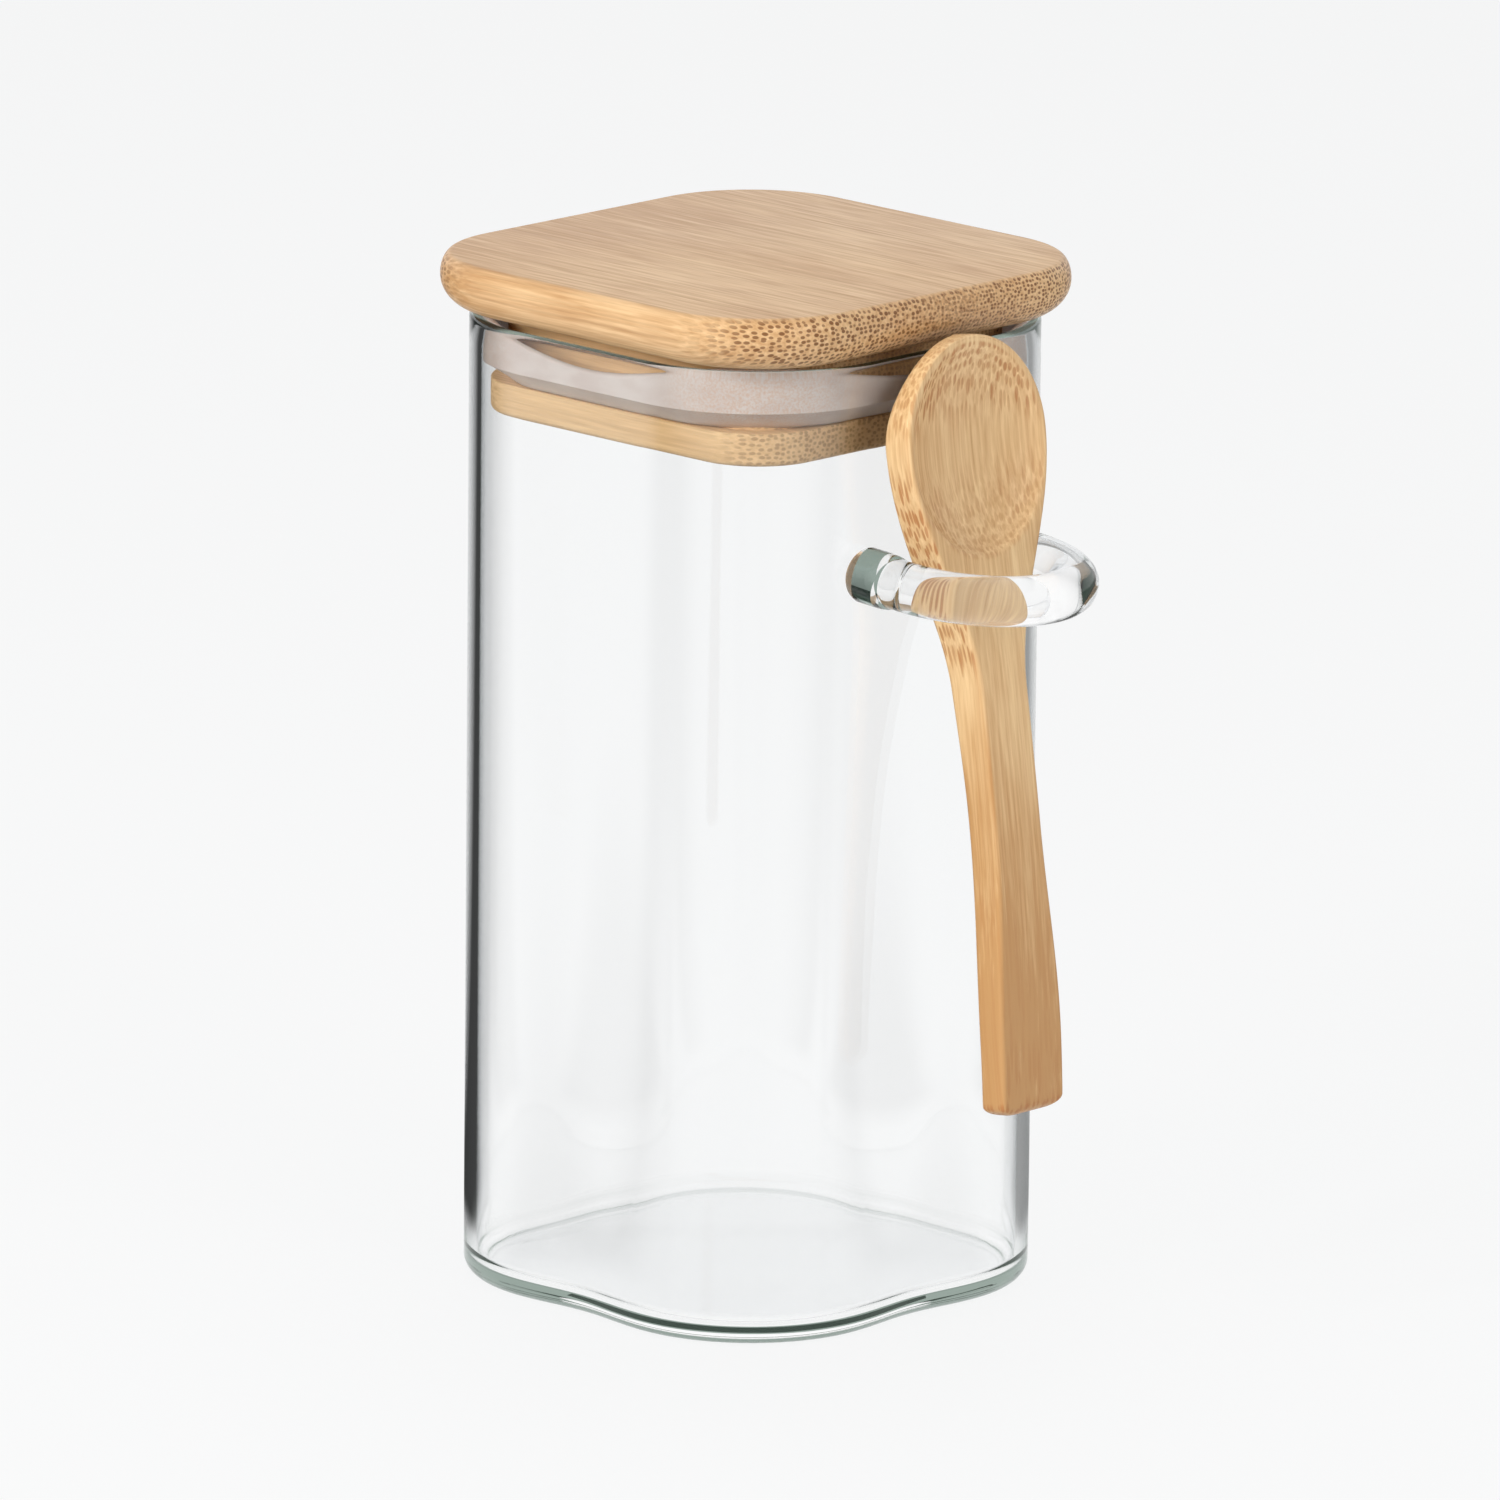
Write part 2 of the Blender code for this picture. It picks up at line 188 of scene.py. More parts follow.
@dataclass(frozen=True)
class Nodes:
    """Adds nodes and links to one node tree, of a material, a world or a modifier."""

    tree: bpy.types.NodeTree

    def add(
        self,
        kind: str,
        settings: dict[str, Any] | None = None,
        sockets: dict[str | int, Any] | None = None,
    ) -> Made:
        """Adds a node.

        Args:
            kind: The node's type.
            settings: Its properties.
            sockets: What each input holds, a value or a link.

        Returns:
            The node.
        """
        node = self.tree.nodes.new(kind)
        for name, setting in (settings or {}).items():
            setattr(node, name, setting)
        self.fill(node, sockets or {})
        return Made(self, node)

    def fill(self, node: bpy.types.Node, sockets: dict[str | int, Any]) -> None:
        """Links or sets inputs of a node.

        Args:
            node: The node.
            sockets: What each input holds: a Value, a socket, a number, a vector or a colour.
        """
        for name, content in sockets.items():
            socket = node.inputs[name]
            if isinstance(content, Value):
                content = content.socket
            if isinstance(content, bpy.types.NodeSocket):
                self.tree.links.new(content, socket)
            elif socket.type == "RGBA" and len(content) == 3:
                socket.default_value = (*content, 1)
            else:
                socket.default_value = content

    def mix(self, factor: Any, first: Any, second: Any) -> bpy.types.NodeSocket:
        """Mixes two colours.

        Args:
            factor: How much of the second.
            first: A colour.
            second: A colour.

        Returns:
            The colour.
        """
        sockets = {0: factor, 6: first, 7: second}
        return self.add("ShaderNodeMix", {"data_type": "RGBA"}, sockets).out(2)

    def vector(self, x: Any, y: Any, z: Any) -> bpy.types.NodeSocket:
        """A vector of three numbers."""
        return self.add("ShaderNodeCombineXYZ", None, {0: x, 1: y, 2: z}).out()

    def parts(self, vector: Any) -> tuple[Value, Value, Value]:
        """The three numbers of a vector."""
        made = self.add("ShaderNodeSeparateXYZ", None, {0: vector})
        return made.value(0), made.value(1), made.value(2)

    def bump(self, height: Value, strength: float, depth: float) -> bpy.types.NodeSocket:
        """The normal of an uneven surface with this height pattern, strength and depth."""
        sockets = {"Height": height, "Strength": strength, "Distance": depth}
        return self.add("ShaderNodeBump", None, sockets).out()

    def noise(self, vector: Any, detail: float = 2.0, roughness: float = 0.5) -> Value:
        """Noise of one unit across, from about 0.2 to 0.8.

        Args:
            vector: Where it is read.
            detail: How many finer layers it has.
            roughness: How strong they are.

        Returns:
            The noise.
        """
        return self.add(
            "ShaderNodeTexNoise",
            None,
            {"Vector": vector, "Scale": 1.0, "Detail": detail, "Roughness": roughness},
        ).value("Fac")


def place_in_scene(name: str, data: bpy.types.ID) -> bpy.types.Object:
    """Makes an object of a mesh, a lamp or a camera.

    Args:
        name: The object's name.
        data: What it holds.

    Returns:
        The object, which stands in the scene.
    """
    made = bpy.data.objects.new(name, data)
    bpy.context.scene.collection.objects.link(made)
    return made


def new_material(name: str) -> tuple[bpy.types.Material, Nodes, bpy.types.Node]:
    """An empty material with a Principled shader.

    Args:
        name: The material's name.

    Returns:
        The material, its nodes and the shader.
    """
    material = bpy.data.materials.new(name)
    material.use_nodes = True
    return material, Nodes(material.node_tree), material.node_tree.nodes["Principled BSDF"]


def object_place(nodes: Nodes, rotation: Point = (0, 0, 0)) -> bpy.types.NodeSocket:
    """Where a point of a piece is, in mm.

    Args:
        nodes: The material's nodes.
        rotation: A turn that lays the pattern along the piece.

    Returns:
        A vector.
    """
    place = nodes.add("ShaderNodeTexCoord").out("Object")
    sockets = {"Vector": place, "Rotation": rotation, "Scale": (1 / MM,) * 3}
    return nodes.add("ShaderNodeMapping", None, sockets).out()


def surface_is(nodes: Nodes, shown: bpy.types.NodeSocket) -> None:
    """Gives a material another surface than its plain shader.

    Args:
        nodes: The material's nodes.
        shown: The new surface.
    """
    nodes.fill(nodes.tree.nodes["Material Output"], {"Surface": shown})


# Finishes


class Grain(Enum):
    """Which way bamboo fibres run, as the turn that lays them along the pattern's Z axis."""

    FRONT_TO_BACK = (QUARTER, 0.0, 0.0)
    DOWN_THE_SPOON = (math.radians(7.65), 0.0, 0.0)


@dataclass(frozen=True)
class BambooFinish:
    """Oiled bamboo: dark fibre bundles in pale tissue, dots on end grain and streaks along it.

    Lengths are in metres, apart from those that end in _mm. bundle_spacing and fine_spacing are
    across and through the fibres, at the -X and the +X side of fine_from to fine_to. ends_show is
    how far a face turns to end grain where its dots start and where they are full. The darkening
    along the fibres is painted shade: its numbers say by how much the tissue darkens up to one
    place along the fibres and from a second place on, standing in for light that falls off.
    """

    name: str
    grain: Grain
    pale: Colour
    deep: Colour
    bundle: Colour
    bundle_spacing: tuple[float, float] = (1.05 * MM, 0.8 * MM)
    fine_spacing: tuple[float, float] = (0.84 * MM, 0.66 * MM)
    fine_from: float = -12 * MM
    fine_to: float = 22 * MM
    fine_wander_mm: float = 24
    bundle_scatter: float = 0.62
    bundle_size: tuple[float, float] = (0.27, 0.15)
    bundle_blur: tuple[float, float] = (1.18, 0.74)
    ends_show: tuple[float, float] = (0.22, 0.7)
    worn: float = 0.0
    along_contrast: float = 0.16
    end_contrast: float = 1.0
    sway_mm: tuple[float, float] = (0.9, 0.5)
    fibre_strength: float = 0.6
    streak_width: float = 0.85
    streak_strength: float = 2.6
    broad_strength: float = 1.2
    roughness: float = 0.42
    relief: float = 0.35
    relief_depth: float = 0.05 * MM
    coat: float = 0.15
    coat_roughness: float = 0.22
    # Painted shade along the fibres: how much darker up to one place and from a second place on.
    painted_shade_along: tuple[float, float, float, float] = (0.0, 0.0, 1.0, 0.0)
    seed: float = 0.0

    def _bundles(
        self, nodes: Nodes, across: Value, depth: Value, spacing: tuple[float, float]
    ) -> tuple[Value, Value]:
        """Fibre bundles of one size.

        Args:
            nodes: The material's nodes.
            across: The place across the fibres, in mm.
            depth: The place through them, in mm.
            spacing: The distance between bundles, across and through.

        Returns:
            How much of a bundle the point is in, and a random number of that bundle.
        """
        wide, deep = spacing[0] / MM, spacing[1] / MM
        place = nodes.vector(across / wide + self.seed, depth / deep, 0.0)
        cell = nodes.add(
            "ShaderNodeTexVoronoi",
            {"voronoi_dimensions": "2D", "feature": "F1"},
            {"Vector": place, "Scale": 1.0, "Randomness": self.bundle_scatter},
        )
        chance = nodes.parts(cell.out("Color"))[0]
        size = self.bundle_size[0] + self.bundle_size[1] * chance
        return (cell.value("Distance") / size).rise(*self.bundle_blur), chance

    def _endness(self, nodes: Nodes) -> Value:
        """How far the surface shows the fibres' ends, fainter where it is worn from above.

        Args:
            nodes: The material's nodes.

        Returns:
            A number from 0 to 1.
        """
        normal = nodes.add("ShaderNodeNewGeometry").out("Normal")
        sockets = {"Vector": normal, "Rotation": self.grain.value}
        turned = nodes.add("ShaderNodeMapping", {"vector_type": "NORMAL"}, sockets).out()
        facing = nodes.parts(turned)[2]
        return abs(facing).rise(*self.ends_show) * (1 - self.worn * facing.rise(0.0, 0.1))

    def make(self) -> bpy.types.Material:
        """Builds the material.

        Returns:
            The material.
        """
        material, nodes, shader = new_material(self.name)
        across, depth, along = nodes.parts(object_place(nodes, self.grain.value))

        def pattern(x: Value, y: Value, width: float, length: float, *layers: float) -> Value:
            """Noise round 0 that is drawn out along the fibres, width by length in mm."""
            place = nodes.vector(x / width, y / width, along / length + self.seed)
            return nodes.noise(place, *layers) - 0.5

        sway = nodes.noise(nodes.vector(across / 14 + self.seed, depth / 14, along / 45), 1.0) - 0.5
        bent = across + sway * self.sway_mm[0]
        sunk = depth + sway * self.sway_mm[1]
        large, large_chance = self._bundles(nodes, bent, sunk, self.bundle_spacing)
        small, small_chance = self._bundles(nodes, bent, sunk + 40, self.fine_spacing)
        wander = nodes.noise(nodes.vector(across / 9, depth / 9, self.seed), 1.0) - 0.5
        limits = self.fine_from / MM, self.fine_to / MM
        fineness = (across + wander * self.fine_wander_mm).rise(*limits)
        bundle = large * (1 - fineness) + small * fineness
        darkness = 0.7 + 0.3 * (large_chance * (1 - fineness) + small_chance * fineness)
        extra = self.end_contrast - self.along_contrast
        contrast = self.along_contrast + extra * self._endness(nodes)
        fibre = pattern(bent, sunk, 1 / 3.2, 26, 2.0, 0.6)
        streak = pattern(bent, sunk, self.streak_width, 16, 3.0, 0.6)
        broad = pattern(bent, sunk, 13, 40, 3.0, 0.55)
        # Painted shade: the tissue darkens along the fibres, standing in for light that falls off
        # over the piece.
        low, start, end, high = self.painted_shade_along
        tone = 0.5 + low + (high - low) * along.rise(start, end)
        tone += fibre * self.fibre_strength + streak * self.streak_strength
        tissue = nodes.mix((tone + broad * self.broad_strength).clamped(), self.pale, self.deep)
        colour = nodes.mix(bundle * darkness * contrast, tissue, self.bundle)
        height = fibre * 0.5 - bundle * 0.45
        looks = {
            "Base Color": colour,
            "Roughness": self.roughness + fibre * 0.14 + streak * 0.1 + bundle * 0.05,
            "Normal": nodes.bump(height, self.relief, self.relief_depth),
            "Coat Weight": self.coat,
            "Coat Roughness": self.coat_roughness,
        }
        nodes.fill(shader, looks)
        return material


@dataclass(frozen=True)
class GlassFinish:
    """Clear blown glass, faintly uneven, with painted shade where it is seen edge-on: grey mixed
    into its colour for the dark edges that glass shows.

    Light that has been reflected inside it more than caught_after times passes on with caught_tint,
    because the renderer stops following such light and would show it black. Lamps shine through it
    with lamp_tint.
    """

    name: str = "jar_clear_glass"
    clear: Colour = (0.998, 1.0, 1.0)
    hazy: Colour = (0.985, 0.992, 0.995)
    # Painted shade: the grey mixed in where the glass is seen edge-on, for its dark edges.
    edge: Colour = (0.62, 0.65, 0.68)
    edge_shade_from: float = 0.5
    edge_shade_to: float = 0.95
    lamp_tint: Colour = (0.955, 0.965, 0.965)
    caught_tint: Colour = (0.29, 0.36, 0.32)
    caught_after: float = 2.5
    relief: float = 0.4
    relief_depth: float = 0.05 * MM
    ior: float = 1.47

    def make(self) -> bpy.types.Material:
        """Builds the material.

        Returns:
            The material.
        """
        material, nodes, shader = new_material(self.name)
        x, y, z = nodes.parts(object_place(nodes))
        wave = nodes.noise(nodes.vector(x / 26, y / 26, z / 60), 1.0)
        haze = nodes.noise(nodes.vector(x / 8, y / 8, z / 11), 2.0)
        facing = nodes.add("ShaderNodeLayerWeight", None, {"Blend": 0.5}).value("Facing")
        # Painted shade: how much grey goes in where the surface is seen edge-on.
        painted_edge_shade = facing.rise(self.edge_shade_from, self.edge_shade_to)
        body = nodes.mix((haze - 0.5) * 0.3 + 0.15, self.clear, self.hazy)
        looks = {
            "Base Color": nodes.mix(painted_edge_shade, body, self.edge),
            "Roughness": 0.0,
            "Normal": nodes.bump(wave, self.relief, self.relief_depth),
            "IOR": self.ior,
            "Transmission Weight": 1.0,
        }
        nodes.fill(shader, looks)
        path = nodes.add("ShaderNodeLightPath")
        surface = shader.outputs[0]
        for share, tint in (
            (path.value("Glossy Depth").over(self.caught_after), self.caught_tint),
            (path.value("Is Shadow Ray"), self.lamp_tint),
        ):
            way = nodes.add("ShaderNodeBsdfTransparent", None, {"Color": tint}).out()
            surface = nodes.add("ShaderNodeMixShader", None, {0: share, 1: surface, 2: way}).out()
        surface_is(nodes, surface)
        return material


@dataclass(frozen=True)
class SiliconeFinish:
    """Milky silicone that lets some of what is behind it through, with painted see-through at its
    corners: brown speckle for the bamboo behind it.
    """

    name: str = "seal_milky_silicone"
    pale: Colour = (0.90, 0.80, 0.74)
    deep: Colour = (0.82, 0.70, 0.64)
    # Painted see-through: the brown of the bamboo behind the seal, put into its colour at the
    # corners.
    show_through_brown: Colour = (0.78, 0.52, 0.36)
    show_through_from_mm: float = 55
    show_through_to_mm: float = 66
    roughness: float = 0.34
    relief: float = 0.2
    relief_depth: float = 0.04 * MM
    ior: float = 1.41
    see_through: float = 0.22

    def make(self) -> bpy.types.Material:
        """Builds the material.

        Returns:
            The material.
        """
        material, nodes, shader = new_material(self.name)
        x, y, z = nodes.parts(object_place(nodes))
        cloud = nodes.noise(nodes.vector(x / 7, y / 7, z / 3), 3.0)
        grit = nodes.noise(nodes.vector(x * 2.5, y * 2.5, z * 2.5), 2.0)
        colour = nodes.mix(cloud.rise(0.3, 0.72), self.pale, self.deep)
        # Painted see-through: brown speckle at the corners for the bamboo that shows through the
        # seal.
        corner = (abs(x) + abs(y)).rise(self.show_through_from_mm, self.show_through_to_mm)
        painted_show_through = corner * grit.rise(0.3, 0.75) * 0.75
        looks = {
            "Base Color": nodes.mix(painted_show_through, colour, self.show_through_brown),
            "Roughness": self.roughness + (grit - 0.5) * 0.16,
            "Normal": nodes.bump(grit, self.relief, self.relief_depth),
            "IOR": self.ior,
            "Transmission Weight": self.see_through,
        }
        nodes.fill(shader, looks)
        return material


# Geometry Nodes


@dataclass
class Recipe:
    """A Geometry Nodes tree with named inputs, and the modifier run that turns it into a mesh."""

    name: str
    tree: bpy.types.GeometryNodeTree = field(init=False)
    nodes: Nodes = field(init=False)
    inputs: dict[str, str] = field(init=False, default_factory=dict)
    given: bpy.types.Node = field(init=False)

    def start(self, lengths: Sequence[str], counts: Sequence[str]) -> None:
        """Makes the tree and its inputs.

        Args:
            lengths: The names of its sizes.
            counts: The names of its whole numbers.
        """
        kinds = dict.fromkeys(lengths, "Float") | dict.fromkeys(counts, "Int")
        self.tree = bpy.data.node_groups.new(self.name, "GeometryNodeTree")
        self.nodes = Nodes(self.tree)
        face = self.tree.interface
        face.new_socket(name="Geometry", in_out="INPUT", socket_type="NodeSocketGeometry")
        for name, kind in {**kinds, "Material": "Material"}.items():
            socket = face.new_socket(name=name, in_out="INPUT", socket_type="NodeSocket" + kind)
            self.inputs[name] = socket.identifier
        face.new_socket(name="Geometry", in_out="OUTPUT", socket_type="NodeSocketGeometry")
        self.given = self.tree.nodes.new("NodeGroupInput")

    def size(self, name: str) -> Value:
        """An input as a value."""
        return Value(self.nodes, self.given.outputs[name])

    def end(self, geometry: bpy.types.NodeSocket) -> None:
        """Finishes the tree with smooth shading, real geometry and the piece's material.

        Args:
            geometry: What the tree made.
        """
        smooth = self.nodes.add("GeometryNodeSetShadeSmooth", None, {"Geometry": geometry}).out()
        real = self.nodes.add("GeometryNodeRealizeInstances", None, {"Geometry": smooth}).out()
        dressed = self.nodes.add(
            "GeometryNodeSetMaterial",
            None,
            {"Geometry": real, "Material": self.given.outputs["Material"]},
        ).out()
        last = self.tree.nodes.new("NodeGroupOutput")
        self.tree.links.new(dressed, last.inputs[0])

    def bake(self, name: str, start: bpy.types.Mesh, sizes: dict[str, Any]) -> bpy.types.Object:
        """Runs the tree once and keeps its result as a plain mesh.

        Args:
            name: The new object's name.
            start: The mesh that the tree starts from.
            sizes: What each input holds.

        Returns:
            The new object.
        """
        carrier = place_in_scene(name + "_carrier", start)
        modifier = carrier.modifiers.new(self.name, "NODES")
        modifier.node_group = self.tree
        for label, content in sizes.items():
            modifier[self.inputs[label]] = content
        bpy.context.view_layer.update()
        graph = bpy.context.evaluated_depsgraph_get()
        mesh = bpy.data.meshes.new_from_object(
            carrier.evaluated_get(graph), preserve_all_data_layers=True, depsgraph=graph
        )
        mesh.name = name
        mesh.materials.clear()
        mesh.materials.append(sizes["Material"])
        carrier.modifiers.remove(modifier)
        bpy.data.objects.remove(carrier)
        return place_in_scene(name, mesh)


def outline_recipe() -> Recipe:
    """The tree that carries an edge profile round a rounded square.

    It starts from a chain of points in the plane X = inset, Z = height. Each has the attributes
    drawn_in and sag, which say how far the middle of each side moves in and down there.

    Returns:
        The tree.
    """
    recipe = Recipe("rounded_square_edge")
    recipe.start(["Half Side", "Corner Radius"], ["Corner Steps", "Side Steps"])
    nodes = recipe.nodes
    chain = recipe.given.outputs["Geometry"]
    count = nodes.add(
        "GeometryNodeAttributeDomainSize", {"component": "MESH"}, {"Geometry": chain}
    ).value("Point Count")
    corner_steps, side_steps = recipe.size("Corner Steps"), recipe.size("Side Steps")
    quarter_steps = corner_steps + side_steps
    grid = nodes.add(
        "GeometryNodeMeshGrid",
        None,
        {"Size X": 1.0, "Size Y": 1.0, "Vertices X": quarter_steps * 4 + 1, "Vertices Y": count},
    ).out("Mesh")
    grid_x, grid_y, _ = nodes.parts(nodes.add("GeometryNodeInputPosition").out())
    step = ((grid_x + 0.5) * quarter_steps * 4).rounded()
    row = ((grid_y + 0.5) * (count - 1)).rounded()

    def read(kind: str, source: bpy.types.NodeSocket) -> bpy.types.NodeSocket:
        """Reads the profile at this row.

        Args:
            kind: The kind of value.
            source: The value at each point of the profile.

        Returns:
            The value.
        """
        return nodes.add(
            "GeometryNodeSampleIndex",
            {"data_type": kind, "domain": "POINT"},
            {"Geometry": chain, "Value": source, "Index": row},
        ).out("Value")

    def named(name: str) -> Value:
        """Reads an attribute of the profile at this row.

        Args:
            name: The attribute.

        Returns:
            Its value.
        """
        kind = {"data_type": "FLOAT"}
        source = nodes.add("GeometryNodeInputNamedAttribute", kind, {"Name": name}).out("Attribute")
        return Value(nodes, read("FLOAT", source))

    place = nodes.add("GeometryNodeInputPosition").out()
    inset, _, height = nodes.parts(read("FLOAT_VECTOR", place))
    drawn_in, sag = named("drawn_in"), named("sag")
    quarter = ((step + 0.01) / quarter_steps).whole()
    local = step - quarter * quarter_steps
    angle = local.least(corner_steps) / corner_steps * QUARTER
    share = (local - corner_steps).most(0) / side_steps
    swell = (share * math.pi).sine() ** 2
    centre = recipe.size("Half Side") - recipe.size("Corner Radius")
    radius = recipe.size("Corner Radius") - inset
    bend = recipe.size("Corner Radius")
    from_middle = centre * abs(2 * share - 1) + bend * angle.least(QUARTER - angle)
    wave = (from_middle / (centre + bend * (math.pi / 4)) * QUARTER).cosine() ** 2
    x = centre * (1 - 2 * share) + radius * angle.cosine()
    y = centre + radius * angle.sine() - drawn_in * swell
    turn = quarter * QUARTER
    place = nodes.vector(
        x * turn.cosine() - y * turn.sine(),
        x * turn.sine() + y * turn.cosine(),
        height - sag * wave,
    )
    shaped = nodes.add(
        "GeometryNodeSetPosition", None, {"Geometry": grid, "Position": place}
    ).out()
    closed = nodes.add(
        "GeometryNodeMergeByDistance", None, {"Geometry": shaped, "Distance": 0.002 * MM}
    ).out()
    recipe.end(closed)
    return recipe


LOOP_SIZES = (
    "Half Spacing", "Leg Length", "Nose Length", "Half Side", "Embedded",
    "Loop Height", "Droop", "Rod Radius", "Foot Radius", "Foot Thickness",
)


def bent_rod_recipe() -> Recipe:
    """The tree that bends a rod to a U: two straight legs and half an ellipse, with wider feet.

    Returns:
        The tree.
    """
    recipe = Recipe("bent_rod")
    recipe.start(LOOP_SIZES, ["Path Steps", "Rod Sides"])
    nodes = recipe.nodes
    line = nodes.add(
        "GeometryNodeCurvePrimitiveLine", {"mode": "POINTS"}, {"Start": (0, 0, 0), "End": (1, 0, 0)}
    ).out()
    path = nodes.add(
        "GeometryNodeResampleCurve",
        {"mode": "COUNT"},
        {"Curve": line, "Count": recipe.size("Path Steps")},
    ).out()
    leg_turn = 1.3
    factor = nodes.add("GeometryNodeSplineParameter").value("Factor")
    turn = factor * (math.pi + 2 * leg_turn) - leg_turn
    on_nose = turn.most(0).least(math.pi)
    off_nose = (turn - on_nose) / leg_turn
    down = abs(off_nose)
    leg = recipe.size("Leg Length")
    embedded = recipe.size("Embedded")
    nose = recipe.size("Nose Length")
    out = (leg + embedded) * (1 - down) ** 1.6 - embedded + nose * on_nose.sine()
    reach = leg + nose
    place = nodes.vector(
        -recipe.size("Half Spacing") * on_nose.cosine(),
        -recipe.size("Half Side") - out,
        recipe.size("Loop Height") - recipe.size("Droop") * out.most(0) / reach,
    )
    bent = nodes.add(
        "GeometryNodeSetPosition", None, {"Geometry": path, "Position": place}
    ).out()
    share = (out.most(0) / recipe.size("Foot Thickness")).least(1)
    flare = recipe.size("Foot Radius") / recipe.size("Rod Radius") - 1
    scale = 1 + flare * (1 - share * share).most(0).root()
    ring = nodes.add(
        "GeometryNodeCurvePrimitiveCircle",
        {"mode": "RADIUS"},
        {"Resolution": recipe.size("Rod Sides"), "Radius": recipe.size("Rod Radius")},
    ).out("Curve")
    tube = nodes.add(
        "GeometryNodeCurveToMesh",
        None,
        {"Curve": bent, "Profile Curve": ring, "Scale": scale, "Fill Caps": True},
    ).out()
    recipe.end(tube)
    return recipe


# The angles in degrees above which an edge stays crisp: on the plain parts of the glass, where
# the loop's feet meet the wall, on the lid and on the spoon.
CRISP_ABOVE = 50
CRISP_FEET_ABOVE = 38
CRISP_LID_ABOVE = 45
CRISP_SPOON_ABOVE = 60


@dataclass(frozen=True)
class EdgePoint:
    """A point of an edge profile."""

    inset: float
    height: float
    drawn_in: float = 0.0
    sag: float = 0.0


def arc(
    inset: float, height: float, wide: float, tall: float, turns: Sequence[float], sag: float = 0.0
) -> list[EdgePoint]:
    """A round edge as a part of an ellipse.

    Args:
        inset: Its centre's inset.
        height: Its centre's height.
        wide: How far it reaches outwards.
        tall: How far it reaches up and down.
        turns: The angles of its points: 0 is the outermost, a right angle is the top.
        sag: The sag of its points.

    Returns:
        The points.
    """
    return [
        EdgePoint(inset - wide * math.cos(turn), height + tall * math.sin(turn), sag=sag)
        for turn in turns
    ]


def profile_mesh(name: str, points: Sequence[EdgePoint]) -> bpy.types.Mesh:
    """An edge profile as a chain of points with their attributes.

    Args:
        name: The mesh's name.
        points: The profile, in order.

    Returns:
        The mesh.
    """
    mesh = bpy.data.meshes.new(name)
    chain = [(index, index + 1) for index in range(len(points) - 1)]
    mesh.from_pydata([(point.inset, 0, point.height) for point in points], chain, [])
    for label in ("drawn_in", "sag"):
        attribute = mesh.attributes.new(label, "FLOAT", "POINT")
        attribute.data.foreach_set("value", [getattr(point, label) for point in points])
    return mesh


def skin(rings: Sequence[Sequence[Vector]], closed: bool) -> bmesh.types.BMesh:
    """Joins rings of points with faces and fills the last ring.

    Args:
        rings: The rings, with as many points each.
        closed: Whether the first ring is filled too.

    Returns:
        The shell.
    """
    shell = bmesh.new()
    rows = [[shell.verts.new(point) for point in ring] for ring in rings]
    for row in (rows[0], rows[-1]) if closed else (rows[-1],):
        shell.faces.new(row)
    for upper, lower in zip(rows, rows[1:]):
        for index in range(len(upper)):
            after = (index + 1) % len(upper)
            shell.faces.new((upper[index], upper[after], lower[after], lower[index]))
    return shell


def close_and_face_out(piece: bpy.types.Object, sharp_angle: float) -> None:
    """Fills what is open, turns every face outwards and marks the sharp edges.

    Args:
        piece: The object, whose mesh is changed.
        sharp_angle: Edges sharper than this, in degrees, stay crisp.
    """
    shell = bmesh.new()
    shell.from_mesh(piece.data)
    bmesh.ops.remove_doubles(shell, verts=shell.verts, dist=0.001 * MM)
    rims = [edge for edge in shell.edges if edge.is_boundary]
    if rims:
        bmesh.ops.holes_fill(shell, edges=rims, sides=0)
    bmesh.ops.recalc_face_normals(shell, faces=shell.faces)
    for face in shell.faces:
        face.smooth = True
        face.material_index = 0
    shell.to_mesh(piece.data)
    shell.free()
    piece.data.set_sharp_from_angle(angle=math.radians(sharp_angle))


# Sub-assemblies


